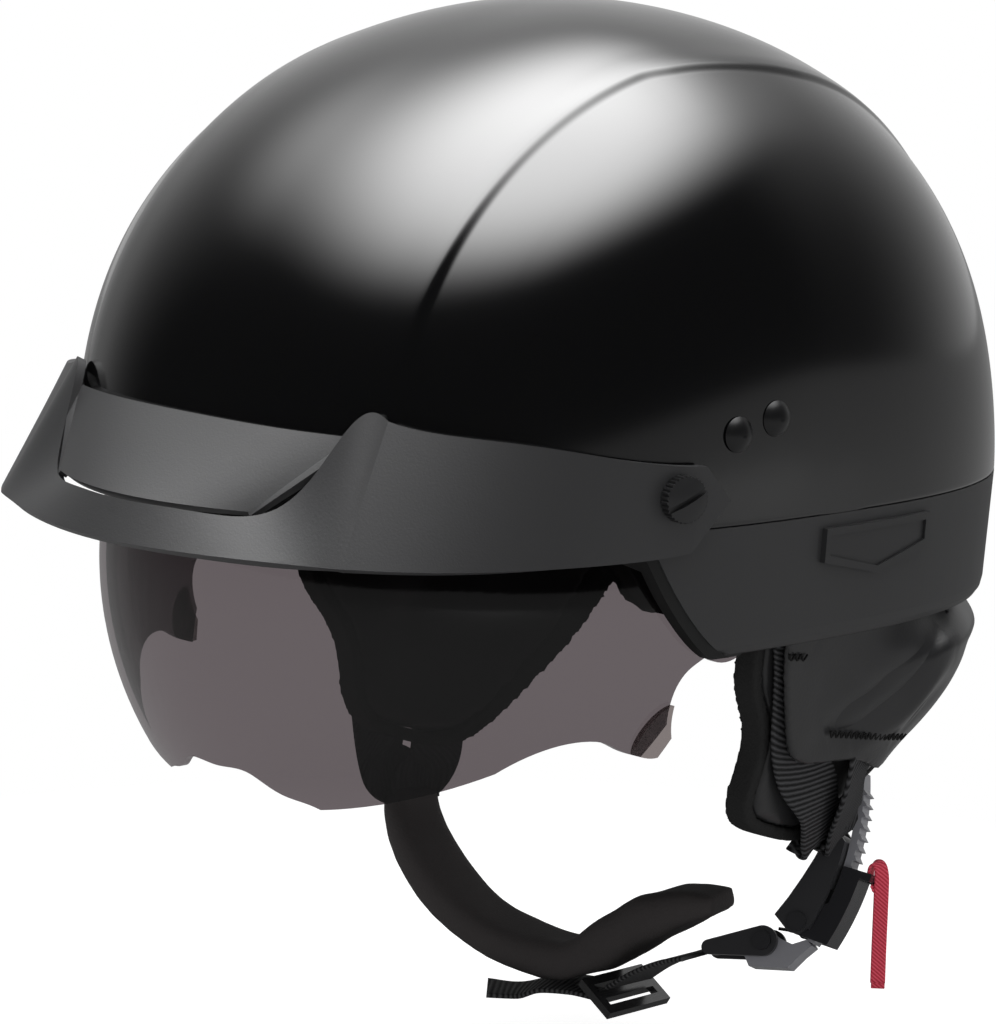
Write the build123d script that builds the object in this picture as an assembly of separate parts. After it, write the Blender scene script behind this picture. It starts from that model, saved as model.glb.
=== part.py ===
from build123d import *
import os
from math import atan2, cos, degrees, hypot, pi, radians, sin, sqrt

# Half shell motorcycle helmet with drop-down sun lens, sun peak and ratchet chin strap.
# Millimetres. +Z is up, the face looks along -Y and the wearer's left side is +X.
# The origin is the middle of the head opening, in the plane where the shell meets its skirt.

# Outer shell: a dome whose plan is a superellipse that shrinks towards the crown
shell_half_width = 114.0
shell_front_reach = 140.0
shell_back_reach = 129.9
shell_crown_height = 134.4
shell_wall = 3.5
plan_power = 2.65
side_rise_power = 3.418
side_round_power = 1.974
back_rise_power = 1.663
back_round_power = 2.055
front_rise_power = 2.3
front_round_power = 1.5625
dome_height_shares = (0.0, 0.15, 0.32, 0.48, 0.63, 0.76, 0.87, 0.95, 0.99)
quarter_pole_shares = ((1.0, 0.0), (1.0, 0.3), (1.02, 1.02), (0.3, 1.0), (0.0, 1.0))

# Raised centre band of the shell, bounded by a crease on each side
band_rise = 1.5
band_half_width = 64.5
band_outline_shares = ((1.0, -1.2), (1.0, -0.25), (1.02, -0.18), (1.042, -0.05), (1.061, 0.08),
                       (1.079, 0.25), (1.07, 0.45), (1.02, 0.7), (0.95, 1.2))

# Face opening, seen from the side: shares of the shell's front reach and of the skirt's depth
opening_edge_shares = ((-1.12, 0.325), (-0.86, 0.29), (-0.66, 0.17), (-0.525, 0.0), (-0.467, -0.315),
                       (-0.401, -0.669), (-0.334, -0.915), (-0.25, -1.04))

# Lower skirt with its bottom corner and the tongue that stands up inside the shell
skirt_depth = 37.0
skirt_wall = 3.0
skirt_draft = 0.05
skirt_corner = 5.0
skirt_tongue_height = 2.6
skirt_tongue_root = 2.0
skirt_tongue_thickness = 2.0
seat_gap = 0.3
seam_gap = 0.15

# Trim along the front edges of the skirt
trim_lip = 2.2
trim_inner_roll = 1.4
trim_top = 3.0

# Blank badge plates on the skirt
badge_length = 47.0
badge_end_height = 9.7
badge_point_drop = 5.2
badge_centre_y = 15.0
badge_top_drop = 3.8
badge_stand = 1.8
badge_frame = 2.0
badge_recess = 0.8

# Impact liner and the head space inside it
liner_seat_gap = 0.4
liner_depth = 28.0
liner_band_recess = 8.2
liner_band_height = 36.0
liner_skirt_recess = 13.8
liner_skirt_top = 12.0
liner_face_setback = 4.0
head_half_width = 85.5
head_front_reach = 105.0
head_back_reach = 103.0
head_crown_height = 102.0
lens_pocket_gap = 1.3
side_pocket_half_width = 98.6
side_pocket_front = 64.0
side_pocket_back = 40.0
side_pocket_top = 24.0

# Comfort pads on the inside of the impact liner
pad_thickness = 7.0
pad_gap = 0.3
pad_split_gap = 4.0
crown_pad_base = 66.0
ring_pad_top = 58.0
ring_pad_bottom = 30.0
brow_pad_back = 60.0
nape_pad_front = 52.0

# Sun lens: a surface of revolution about the pivot axis
pivot_y = -36.0
pivot_z = -26.0
lens_half_width = 105.0
lens_radius = 106.3
lens_thickness = 2.0
lens_top_angle = 24.5
lens_bottom_angle = 34.4
lens_ear_radius = 14.0
lens_ear_start = 12.0
nose_half_width = 30.0
nose_rise = 10.4
nose_outline_shares = ((-1.1, 0.1), (-0.97, 0.31), (-0.73, 0.48), (-0.58, 0.71), (-0.43, 0.98), (0.0, 1.0),
                       (0.43, 0.98), (0.58, 0.71), (0.73, 0.48), (0.97, 0.31), (1.1, 0.1))
lens_heel_shares = ((-0.565, -0.400), (-0.449, -0.322), (-0.388, -0.313), (-0.336, -0.320), (-0.283, -0.346),
                    (-0.230, -0.366), (-0.177, -0.374), (-0.140, -0.356), (-0.150, -0.321), (-0.169, -0.229),
                    (-0.163, -0.191), (-0.136, -0.145), (-0.094, -0.118), (-0.047, -0.094))
grip_thickness = 1.6
grip_outline_shares = ((-0.230, -0.380), (-0.165, -0.386), (-0.125, -0.356), (-0.155, -0.229), (-0.190, -0.235))

# Pivots of the lens
pivot_pin_radius = 3.0
running_gap = 0.05
pivot_head_radius = 6.0
pivot_head_thickness = 1.6
pivot_slot_width = 1.2
pivot_slot_depth = 0.8
pivot_plate_radius = 12.0
pivot_plate_thickness = 2.2
pivot_plate_gap = 0.3
pivot_tab_width = 8.0
pivot_tab_y = -47.0
pivot_tab_z = 8.0
pivot_post_radius = 2.5

# Sun peak: its top edge stands off the dome, its free edge is a flat curve in front
peak_gap = 1.8
peak_thickness = 2.6
peak_half_width = 112.6
peak_reach = 174.0
peak_edge_height = -6.5
peak_edge_shares = ((0.0, 1.0), (0.12, 0.996), (0.24, 0.978), (0.355, 0.951), (0.48, 0.920), (0.65, 0.862),
                    (0.79, 0.776), (0.885, 0.672), (0.945, 0.545), (0.975, 0.44))
peak_top_width_shares = (0.66, 0.78, 0.885, 0.953)
peak_top_heights = (28.0, 26.4, 24.0, 21.0)
horn_x = 65.0
horn_height = 30.0
panel_half_width = 58.5
panel_height = 25.0
slot_half_width = 40.0
slot_reach = 167.3
slot_end_reach = 155.7
slot_height = 3.5
slot_gap = 1.7
arm_end_y = -58.0
arm_end_top = 18.3
arm_end_bottom = -5.2
arm_end_lean = 3.8
arm_tip_y = -49.5
arm_tip_z = 8.4

# Thumbscrews that hold the peak, their inserts and washers
screw_y = -65.2
screw_z = 10.1
screw_head_radius = 6.5
screw_head_height = 4.6
screw_dome_height = 1.2
screw_knurls = 30
screw_knurl_depth = 0.35
screw_slot_width = 1.6
screw_slot_depth = 1.6
screw_shank_radius = 2.5
screw_hole_gap = 0.4
washer_radius = 6.0
washer_thickness = 1.0
insert_radius = 4.5
insert_flange_radius = 7.0
insert_flange_thickness = 1.2
insert_clearance = 0.05

# Rivets and anchor plates of the strap legs
rivet_radius = 5.0
rivet_dome_height = 2.4
rivet_shank_radius = 2.4
front_anchor_y = -36.4
front_anchor_z = 27.0
rivet_spacing = 14.4
rivet_line_angle = 13.6
rear_rivet_x = 52.0
rear_rivet_z = 28.0
anchor_thickness = 1.2
anchor_width = 12.0
anchor_margin = 7.0
anchor_gap = 0.8

# Neck curtain: a padded apron inside the skirt
curtain_half_width = 100.0
curtain_back_reach = 117.0
curtain_thickness = 7.0
curtain_top = 28.0
curtain_cover_gap = 4.3
curtain_cover_thickness = 1.8
curtain_swell = 1.6
curtain_draft = 0.19
curtain_curl = 0.09
curtain_hem_depth = 103.0
curtain_outline_shares = ((-0.159, -0.28), (-0.142, -0.425), (-0.119, -0.518), (-0.034, -0.663),
                          (-0.025, -0.768), (-0.016, -0.906), (0.145, -1.001), (0.332, -1.033),
                          (0.53, -0.938), (0.66, -0.835), (0.778, -0.704), (0.9, -0.52), (1.1, -0.45),
                          (1.25, -0.45))
cover_outline_shares = ((-0.099, -0.28), (-0.082, -0.425), (-0.014, -0.612), (0.057, -0.727),
                        (0.153, -0.758), (0.379, -0.79), (0.558, -0.852), (0.628, -0.837),
                        (0.729, -0.717), (0.825, -0.561), (0.9, -0.46), (1.05, -0.4), (1.25, -0.4))
binding_width = 4.0
snap_radius = 4.0

# Buckle: its own frame has X outward, Y along the pins and Z up the strap; the origin is the lever pin
buckle_pin = (71.7, 38.2, -134.0)
buckle_turn = 20.0
buckle_lean = 22.5
buckle_width = 14.0
frame_plate = 1.5
frame_height = 30.0
frame_outline_shares = ((0.187, 1.023), (0.143, 0.933), (0.123, 0.827), (0.057, 0.647), (-0.027, 0.453),
                        (-0.137, 0.227), (-0.247, 0.037), (-0.073, -0.113), (0.033, -0.12), (0.113, -0.053))
frame_top_angle = -3.0
frame_floor = 1.6
frame_floor_foot_angle = -13.5
frame_bar_share = 0.83
frame_bar_depth = 3.6
frame_bar_radius = 1.9
strap_arc_radius = 80.0
strap_arc_centre_shares = (-0.87, 0.375)
pin_radius = 1.8
pin_head_radius = 2.9
pin_head_height = 0.9

# Toothed tongue
tongue_gap = 0.35
tongue_width = 6.6
tongue_thickness = 2.2
tooth_height = 1.3
tooth_pitch_angle = 2.3
tooth_width_share = 0.5
tooth_count = 13
tooth_first_angle = -20.0
tongue_top_angle = 12.5
tongue_root_angle = -25.5
tongue_root_shares = ((0.097, -0.147), (0.153, -0.205), (0.05, -0.317), (-0.057, -0.46), (-0.46, -0.5),
                      (-0.54, -0.383), (-0.487, -0.2), (-0.367, -0.11), (-0.213, -0.173), (-0.05, -0.217))
chin_pin_shares = (-0.35, -0.233)

# Release lever with its pawl, hub and spring
lever_ear = 1.3
lever_side_gap = 0.25
lever_roof = 1.5
lever_roof_gap = 1.6
pawl_gap = 0.3
pawl_angle = -14.0
pawl_spread_angle = 0.8
lever_foot_angle = -24.0
lever_end_angle = -8.0
lever_inner_gap = 1.0
lever_lip = 3.4
lever_lip_angle = 1.5
lever_hub_radius = 3.6
lever_web_angle = -16.5
ribbon_slot_width = 6.0
ribbon_slot_height = 2.0
spring_radius = 3.0
spring_wire = 0.9
spring_leg = 6.5

# Chin bracket
bracket_plate = 1.4
bracket_side_gap = 0.3
bracket_eye_radius = 4.6
bracket_end_shares = (-0.9, -0.377)
bracket_end_radius = 2.2
bracket_bar_radius = 1.7

# Pull ribbon
ribbon_width = 4.6
ribbon_thickness = 1.0
ribbon_route_shares = ((0.598, 0.233, 0.5), (0.605, 0.233, 0.575), (0.62, 0.235, 0.635), (0.667, 0.238, 0.655),
                       (0.712, 0.24, 0.607), (0.725, 0.27, 0.467), (0.72, 0.4, 0.167), (0.71, 0.55, -0.2),
                       (0.7, 0.7, -0.567))

# Webbing and the padded chin strap; routes are shares of one reach
webbing_width = 20.0
webbing_thickness = 1.5
strap_reach = 100.0
front_leg_shares = ((1.05, -0.37, 0.33), (1.05, -0.35, 0.22), (1.05, -0.28, 0.08),
                    (1.05, -0.205, -0.04), (1.03, -0.1, -0.2), (1.0, -0.015, -0.36),
                    (0.96, 0.05, -0.57), (0.92, 0.125, -0.76), (0.895, 0.225, -0.874),
                    (0.853, 0.296, -0.973), (0.804, 0.375, -1.052))
front_leg_facings = ((1.0, 0.0, 0.0), (1.0, 0.0, 0.0), (1.0, 0.0, 0.0), (1.0, 0.0, 0.1),
                     (1.0, 0.0, 0.1), (1.0, 0.0, 0.05), (1.0, 0.05, -0.1), (1.0, 0.1, -0.2),
                     (1.0, 0.2, -0.2), (0.85, 0.35, -0.4), (0.75, 0.45, -0.5))
rear_leg_shares = ((0.49, 1.22, 0.333), (0.52, 1.2, 0.17), (0.63, 1.136, -0.02),
                   (0.775, 0.995, -0.18), (0.865, 0.84, -0.34), (0.915, 0.66, -0.52),
                   (0.93, 0.46, -0.72), (0.89, 0.415, -0.842), (0.874, 0.401, -0.926),
                   (0.825, 0.449, -1.016), (0.787, 0.482, -1.069))
rear_leg_facings = ((0.35, 1.0, 0.1), (0.4, 1.0, 0.0), (0.6, 1.0, 0.0), (1.0, 0.8, 0.0),
                    (1.0, 0.45, 0.0), (1.0, 0.25, 0.0), (1.0, 0.1, -0.1), (1.0, 0.2, -0.2),
                    (1.0, 0.3, -0.3), (0.8, 0.4, -0.5), (0.75, 0.45, -0.5))
far_front_end_shares = ((0.885, 0.165, -0.95), (0.905, 0.2, -1.1), (0.918, 0.235, -1.17))
far_rear_end_shares = ((0.82, 0.385, -0.97), (0.83, 0.375, -1.1), (0.845, 0.37, -1.17))
far_end_facings = ((1.0, 0.3, -0.2), (1.0, 0.2, -0.3), (1.0, 0.1, -0.4))
chin_pad_shares = ((-0.9, 0.334, -1.24), (-0.865, 0.318, -1.33), (-0.72, 0.29, -1.466),
                   (-0.55, 0.275, -1.565), (-0.28, 0.276, -1.622), (-0.05, 0.284, -1.604),
                   (0.15, 0.312, -1.465), (0.33, 0.336, -1.366), (0.44, 0.365, -1.335))
chin_pad_facings = ((-1.0, 0.0, -0.4), (-0.9, 0.0, -0.6), (-0.6, 0.0, -0.9), (-0.4, 0.0, -1.0), (0.0, 0.0, -1.0),
                    (0.4, 0.0, -1.0), (0.6, 0.0, -1.0), (0.2, 0.0, -1.0), (0.1, 0.0, -1.0))
chin_pad_width = 24.0
chin_pad_thickness = 12.0
chin_pad_fill_shares = (0.62, 0.9, 1.0, 0.95, 1.0, 1.0, 1.15, 1.2, 0.55)
chin_pad_corner_share = 0.45
chin_webbing_shares = ((0.417, 0.313, -1.493), (0.342, 0.318, -1.52), (0.22, 0.319, -1.58), (0.1, 0.325, -1.66))
chin_webbing_facings = ((0.5, 0.0, -1.0), (0.5, 0.0, -1.0), (0.5, 0.0, -1.0), (0.5, 0.0, -1.0))
tail_shares = ((0.035, 0.31, -1.705), (-0.04, 0.285, -1.7), (-0.12, 0.249, -1.7), (-0.22, 0.186, -1.733),
               (-0.3, 0.111, -1.732))
tail_facings = ((0.1, 0.0, -1.0), (0.0, 0.0, -1.0), (0.1, 0.0, -1.0), (0.1, 0.0, -1.0), (0.0, 0.0, -1.0))
tail_fold_length = 10.0
tail_fold_thickness = 3.2
slider_width = 27.0
slider_length = 15.0
slider_thickness = 2.6
slider_bar = 3.2
slider_place_shares = (0.087, 0.322, -1.692)
slider_tilt = 32.0

station_count = 24
settle_height = -84.0
far_settle_height = -88.0
settle_top = 20.0
settle_probe = 6.0
settle_margin = 1.0
leg_gap = 1.2
relief_half_width = 9.0
relief_y = -45.0
relief_gap = 0.8
binding_gap = 0.15
outline_samples = 28
probe_step = 0.5
corner_angles = (30.0, 60.0, 90.0)
overrun = 60.0
skirt_corner_share = 0.6
trim_setback = 0.4
rivet_seat = 0.2
slot_turn = 45.0
screw_slot_angle = 25.0
insert_flange_drop = 0.4
pivot_post_gap = 0.6
pivot_head_gap = 0.3
lens_drop_angle = 60.0
lens_travel = 40.0
grip_extra_angle = 5.0
pocket_extra_angle = 5.0
curtain_swell_shares = ((0.0, 0.0), (0.25, 0.8), (0.5, 1.0), (0.75, 0.7), (1.0, 0.0))
curtain_cover_top = 28.0
snap_places = (2.0, 34.0)
snap_gap = 0.3
snap_margin = 0.0
far_leg_points = 8
chin_pad_stations = 22
slider_side_gap = 0.6
tooth_root_share = 0.1
head_gap = 0.2
ribbon_slot_rise = 1.6
ribbon_stations = 41
lens_curve_spans = 36
lip_edge_shares = (0.0, 0.213, 0.41, 0.55, 0.63)
arm_edge_shares = (0.63, 0.72, 0.84, 0.925, 0.965)
slot_side_share = 0.25
panel_shares = (0.0, 0.35, 0.7, 1.0)
panel_lap_share = 0.15
crossing = 12.0

# Sizes that follow from the ones above
anchor_depth = shell_wall + 2 * anchor_gap + webbing_thickness + anchor_thickness
washer_seat = (peak_gap - washer_thickness) / 2
screw_seat = peak_gap + peak_thickness + seat_gap
screw_shank_length = screw_seat + shell_wall + insert_flange_thickness
lens_ear_outer = (lens_half_width - lens_thickness) * sqrt(
    1 - (lens_ear_start / (lens_radius - lens_thickness)) ** 2) + lens_thickness

dome_sizes = (shell_half_width, shell_front_reach, shell_back_reach, shell_crown_height)
head_sizes = (head_half_width, head_front_reach, head_back_reach, head_crown_height)
curtain_sizes = (curtain_half_width, shell_front_reach, curtain_back_reach)
full_height = shell_crown_height + overrun


def shrunk(share, rise, rounding):
    """The share of a dome's plan size that is left at a share of its height."""
    return max(1 - share ** rise, 0) ** (1 / rounding)


def plan_sizes(sizes, height, inset):
    """Half width, front reach and back reach of a dome at a height, its surface moved in by inset."""
    half, front, back, crown = (size - inset for size in sizes)
    share = max(height, 0) / crown
    lean = skirt_draft * min(height, 0)
    return (half * shrunk(share, side_rise_power, side_round_power) + lean,
            front * shrunk(share, front_rise_power, front_round_power) + lean,
            back * shrunk(share, back_rise_power, back_round_power) + lean)


def plan_face(half, front, back, height):
    """A flat superellipse, its front and back halves of different length, at a height."""
    curves = []
    for across, along, order in ((half, back, 1), (-half, back, -1), (-half, -front, 1), (half, -front, -1)):
        poles = [(across * x, along * y) for x, y in quarter_pole_shares]
        curves.append(Bezier(*poles[::order]))
    return Pos(0, 0, height) * make_face(curves)


def dome(sizes, inset, bottom=0.0):
    """A closed dome that stands on a flat face at the bottom height."""
    crown = sizes[3] - inset
    heights = [crown * share for share in dome_height_shares]
    if bottom < 0:
        heights.insert(0, bottom)
    faces = [plan_face(*plan_sizes(sizes, height, inset), height) for height in heights]
    return loft([*faces, Vertex(0, 0, crown)])


def wall_block(inset, low, high):
    """A drafted block that fills the plan of the skirt between two heights, its side moved in by inset."""
    return loft([plan_face(*plan_sizes(dome_sizes, low, inset), low),
                 plan_face(*plan_sizes(dome_sizes, 0, inset), 0)]
                + ([plan_face(*plan_sizes(dome_sizes, 0, inset), high)] if high > 0 else []), ruled=True)


def side_x(y, z, stand=0.0):
    """The x of the shell's left side at a place, moved out by a stand-off."""
    half, front, back = plan_sizes(dome_sizes, z, -stand)
    reach = front if y < 0 else back
    return half * shrunk(abs(y) / reach, plan_power, plan_power)


def end_y(x, z, stand=0.0, front=True):
    """The y of the shell's front or back surface at a place, moved out by a stand-off."""
    half, front_reach, back_reach = plan_sizes(dome_sizes, z, -stand)
    reach = -front_reach if front else back_reach
    return reach * shrunk(abs(x) / half, plan_power, plan_power)


def side_frame(y, z, stand=0.0):
    """A plane on the shell's left side with its Z outward and its X towards the back."""
    slope_y = (side_x(y + probe_step, z) - side_x(y - probe_step, z)) / (2 * probe_step)
    slope_z = (side_x(y, z + probe_step) - side_x(y, z - probe_step)) / (2 * probe_step)
    out = Vector(1, -slope_y, -slope_z).normalized()
    back = (Vector(0, 1, 0) - out * out.Y).normalized()
    return Plane(origin=Vector(side_x(y, z), y, z) + out * stand, x_dir=back, z_dir=out)


def back_frame(x, z, stand=0.0):
    """A plane on the shell's back with its Z outward and its X towards the right side."""
    slope_x = (end_y(x + probe_step, z, 0, False) - end_y(x - probe_step, z, 0, False)) / (2 * probe_step)
    slope_z = (end_y(x, z + probe_step, 0, False) - end_y(x, z - probe_step, 0, False)) / (2 * probe_step)
    out = Vector(-slope_x, 1, -slope_z).normalized()
    across = (Vector(-1, 0, 0) + out * out.X).normalized()
    return Plane(origin=Vector(x, end_y(x, z, 0, False), z) + out * stand, x_dir=across, z_dir=out)


def both_sides(part):
    """A left part with its mirror image on the right."""
    return Part() + [part, mirror(part, about=Plane.YZ)]


def side_prism(outline, both=True):
    """A side view's face, its points in (y, z), carried across the whole width."""
    return extrude(Plane.YZ * outline, amount=shell_half_width + overrun, both=both)


def face_opening(shift=0.0, both=True):
    """Everything in front of the opening's edge, seen from the side; a shift moves the edge back and up."""
    points = [(shell_front_reach * y + shift, skirt_depth * z + shift) for y, z in opening_edge_shares]
    first, last = points[0], points[-1]
    floor = -skirt_depth - overrun
    edge = [Spline(*points), Line(last, (last[0], floor)), Line((last[0], floor), (first[0], floor)),
            Line((first[0], floor), first)]
    return side_prism(make_face(edge), both)


def centre_band():
    """The raised band between the two creases, as a dome cut to its plan."""
    side = [(band_half_width * across, shell_front_reach * along) for across, along in band_outline_shares]
    other = [(-x, y) for x, y in reversed(side)]
    plan = make_face([Spline(*side), Line(side[-1], other[0]), Spline(*other), Line(other[-1], side[0])])
    return dome(dome_sizes, -band_rise) & extrude(plan, amount=full_height)


def outer_shell():
    """The shell with its band, face opening, rivet holes and insert holes."""
    shell = dome(dome_sizes, 0) + centre_band()
    shell -= dome(dome_sizes, shell_wall, -overrun)
    shell -= face_opening()
    shell -= both_sides(side_frame(screw_y, screw_z) * Cylinder(insert_radius + insert_clearance, crossing))
    return shell - rivet_shanks(running_gap)


def drafted_block(inset, low, high):
    """A block whose side keeps the skirt's draft between two heights, moved in by inset."""
    faces = []
    for height in (low, high):
        half, front, back, crown = (size - inset + skirt_draft * height for size in dome_sizes)
        faces.append(plan_face(half, front, back, height))
    return loft(faces, ruled=True)


def lower_skirt():
    """The skirt below the seam, with a rounded lower corner and a tongue inside the shell."""
    corner = skirt_depth - skirt_corner
    faces = [plan_face(*plan_sizes(dome_sizes, -seam_gap, 0), -seam_gap),
             plan_face(*plan_sizes(dome_sizes, -corner, 0), -corner)]
    for turn in corner_angles:
        inset = skirt_corner * (1 - cos(radians(turn))) * skirt_corner_share
        height = -corner - skirt_corner * sin(radians(turn))
        faces.append(plan_face(*plan_sizes(dome_sizes, height, inset), height))
    tongue_outer = shell_wall + seat_gap
    tongue_inner = tongue_outer + skirt_tongue_thickness
    outer = loft(faces, ruled=True) + drafted_block(tongue_outer, -skirt_tongue_root, skirt_tongue_height)
    skirt = outer - face_opening()
    skirt -= drafted_block(skirt_wall, -skirt_depth - overrun, -skirt_tongue_root)
    skirt -= drafted_block(tongue_inner, -skirt_depth, overrun)
    reach = lens_ear_outer + pivot_plate_gap + pivot_plate_thickness + relief_gap
    relief = Pos(reach / 2, relief_y, 0) * Box(reach, 2 * relief_half_width, 2 * trim_top)
    return skirt - both_sides(relief)


def slab(low, high):
    """Everything between two heights."""
    size = 2 * (shell_front_reach + overrun)
    return Pos(0, 0, (low + high) / 2) * Box(size, size, high - low)


def skirt_trim():
    """The soft lip along the front edges of the skirt."""
    edge = face_opening(0, False) - face_opening(-trim_lip)
    lip = (drafted_block(trim_setback, -skirt_depth, -trim_top) & edge)
    return both_sides(lip - drafted_block(skirt_wall + trim_inner_roll, -skirt_depth - overrun, overrun))


def badge_outline(margin=0.0):
    """The badge's pentagon in (y, z), its edges moved in by a margin."""
    half = badge_length / 2 - margin
    top = -badge_top_drop - margin
    low = -badge_top_drop - badge_end_height + margin
    point = low - badge_point_drop
    return make_face(Polyline((badge_centre_y - half, top), (badge_centre_y + half, top),
                              (badge_centre_y + half, low), (badge_centre_y, point),
                              (badge_centre_y - half, low), close=True))


def badge_plate():
    """A blank plate with a raised frame that follows the skirt's side."""
    deep = -skirt_depth
    skin = wall_block(-badge_stand, deep, 0) - wall_block(0, deep - overrun, overrun)
    floor = wall_block(-badge_stand, deep, 0) - wall_block(badge_recess - badge_stand, deep - overrun, overrun)
    plate = skin & side_prism(badge_outline(), False)
    return plate - (floor & side_prism(badge_outline(badge_frame), False))


def rivet_places():
    """The planes of the rivets of the left side: two above the front leg and one on the band at the back."""
    middle = side_frame(front_anchor_y, front_anchor_z)
    turn = radians(rivet_line_angle)
    half = rivet_spacing / 2
    offsets = [(side * half * cos(turn), side * half * sin(turn)) for side in (-1, 1)]
    front = [Plane(middle.location * Pos(across, up)) for across, up in offsets]
    return front, back_frame(rear_rivet_x, rear_rivet_z, band_rise)


def shank(gap, extra=0.0):
    """A rivet's shank from its seat to its anchor plate's inner face."""
    length = anchor_depth + extra
    return Pos(0, 0, -length / 2) * Cylinder(rivet_shank_radius + gap, length + 2 * gap)


def rivet_shanks(gap=0.0):
    """The shanks of all rivets."""
    front, rear = rivet_places()
    return both_sides(Part() + [place * shank(gap) for place in front] + rear * shank(gap, band_rise))


def dome_head(radius, height):
    """A domed head that stands on its plane."""
    ball = (radius ** 2 + height ** 2) / (2 * height)
    cap = Pos(0, 0, height - ball) * Sphere(ball)
    return cap & (Pos(0, 0, height / 2) * Cylinder(radius + height, height))


def strap_rivets():
    """Domed rivets, each with its shank."""
    head = Pos(0, 0, rivet_seat) * dome_head(rivet_radius, rivet_dome_height)
    neck = Pos(0, 0, rivet_seat / 2) * Cylinder(rivet_shank_radius, rivet_seat)
    front, rear = rivet_places()
    rivets = [place * (head + neck + shank(0)) for place in front]
    return both_sides(Part() + rivets + rear * (head + neck + shank(0, band_rise)))


def strap_anchors():
    """Plates inside the shell that the rivets clamp the webbing with."""
    height = -anchor_depth + anchor_thickness / 2
    middle = side_frame(front_anchor_y, front_anchor_z)
    front = middle.location * Rot(0, 0, rivet_line_angle) * Pos(0, 0, height) * Box(
        rivet_spacing + anchor_margin, anchor_width, anchor_thickness)
    rear = back_frame(rear_rivet_x, rear_rivet_z) * Pos(0, 0, height) * Box(
        anchor_width + anchor_margin, anchor_width, anchor_thickness)
    return both_sides(Part() + [front, rear]) - rivet_shanks(running_gap)


def peak_screw():
    """A knurled thumbscrew with a domed, slotted face, its Z outward and its seat at zero."""
    rim = screw_head_height - screw_dome_height
    head = Pos(0, 0, rim / 2) * Cylinder(screw_head_radius, rim)
    head += Pos(0, 0, rim) * dome_head(screw_head_radius - screw_knurl_depth, screw_dome_height)
    groove = Pos(screw_head_radius, 0, rim / 2) * Rot(0, 0, slot_turn) * Box(
        2 * screw_knurl_depth, 2 * screw_knurl_depth, rim)
    head -= PolarLocations(0, screw_knurls) * groove
    head -= Pos(0, 0, screw_head_height) * Rot(0, 0, screw_slot_angle) * Box(
        2 * screw_head_radius, screw_slot_width, 2 * screw_slot_depth)
    return head + Pos(0, 0, -screw_shank_length / 2) * Cylinder(screw_shank_radius, screw_shank_length)


def thumbscrew():
    return side_frame(screw_y, screw_z, screw_seat) * peak_screw()


def peak_washers():
    """Soft washers between the peak's arms and the shell."""
    ring = Cylinder(washer_radius, washer_thickness) - Cylinder(screw_shank_radius + screw_hole_gap,
                                                                washer_thickness)
    return both_sides(side_frame(screw_y, screw_z, washer_seat + washer_thickness / 2) * ring)


def peak_inserts():
    """Flanged nuts set in the shell from inside, which the thumbscrews turn in."""
    barrel = Pos(0, 0, -shell_wall / 2) * Cylinder(insert_radius, shell_wall)
    flange = Pos(0, 0, -shell_wall - insert_flange_drop - insert_flange_thickness / 2) * Cylinder(
        insert_flange_radius, insert_flange_thickness)
    neck = Pos(0, 0, -shell_wall - insert_flange_drop / 2) * Cylinder(insert_radius, insert_flange_drop)
    bore = Cylinder(screw_shank_radius + running_gap, crossing * 2)
    return both_sides(side_frame(screw_y, screw_z) * (barrel + neck + flange - bore))


def at_pivot(part):
    return Pos(0, pivot_y, pivot_z) * part


def oval(half, reach):
    """An ellipse's face, edged by one smooth closed curve."""
    angles = [radians(360 * number / lens_curve_spans) for number in range(lens_curve_spans)]
    return make_face(Spline(*((half * cos(angle), reach * sin(angle)) for angle in angles), periodic=True))


def lens_band(outer_gap, inner_gap, low_angle, high_angle):
    """A surface of revolution about the pivot axis, thick from the inner to the outer gap off the lens."""
    faces = [oval(lens_half_width + gap, lens_radius + gap) for gap in (outer_gap, inner_gap)]
    rim = Pos(0, lens_ear_start + lens_radius) * Rectangle(2 * lens_radius + overrun, 2 * lens_radius)
    profile = (faces[0] - faces[1]) & rim
    swept = revolve(profile, axis=Axis.X, revolution_arc=high_angle - low_angle)
    return at_pivot(Rot(180 - high_angle, 0, 0) * swept)


def pivot_disc(start, thickness, radius):
    """A round plate about the pivot axis on the left side."""
    return Pos(start + thickness / 2, pivot_y, pivot_z) * Rot(0, 90, 0) * Cylinder(radius, thickness)


def lens_side():
    """The lens's outline seen from the side: its bottom line, the heel's curves and the top line."""
    far = lens_radius + overrun
    low = (-far * cos(radians(lens_bottom_angle)), -far * sin(radians(lens_bottom_angle)))
    high = (-far * cos(radians(lens_top_angle)), far * sin(radians(lens_top_angle)))
    heel = [(lens_radius * y, lens_radius * z) for y, z in lens_heel_shares]
    edges = [Line(low, heel[0]), Spline(*heel), Line(heel[-1], (0, 0)), Line((0, 0), high), Line(high, low)]
    return at_pivot(side_prism(make_face(edges)))


def nose_arch():
    """The cut above the nose, seen from the front."""
    base = pivot_z - lens_radius * sin(radians(lens_bottom_angle))
    curve = [(nose_half_width * x, base + nose_rise * z) for x, z in nose_outline_shares]
    floor = base - overrun
    edges = [Spline(*curve), Line(curve[-1], (curve[-1][0], floor)),
             Line((curve[-1][0], floor), (curve[0][0], floor)), Line((curve[0][0], floor), curve[0])]
    return Pos(0, pivot_y, 0) * extrude(Plane.XZ * make_face(edges), amount=lens_radius + overrun)


def lens_ear():
    ear_start = (lens_half_width - lens_thickness) * sqrt(1 - (lens_ear_start / (lens_radius - lens_thickness)) ** 2)
    return pivot_disc(ear_start, lens_thickness, lens_ear_radius)


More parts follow.
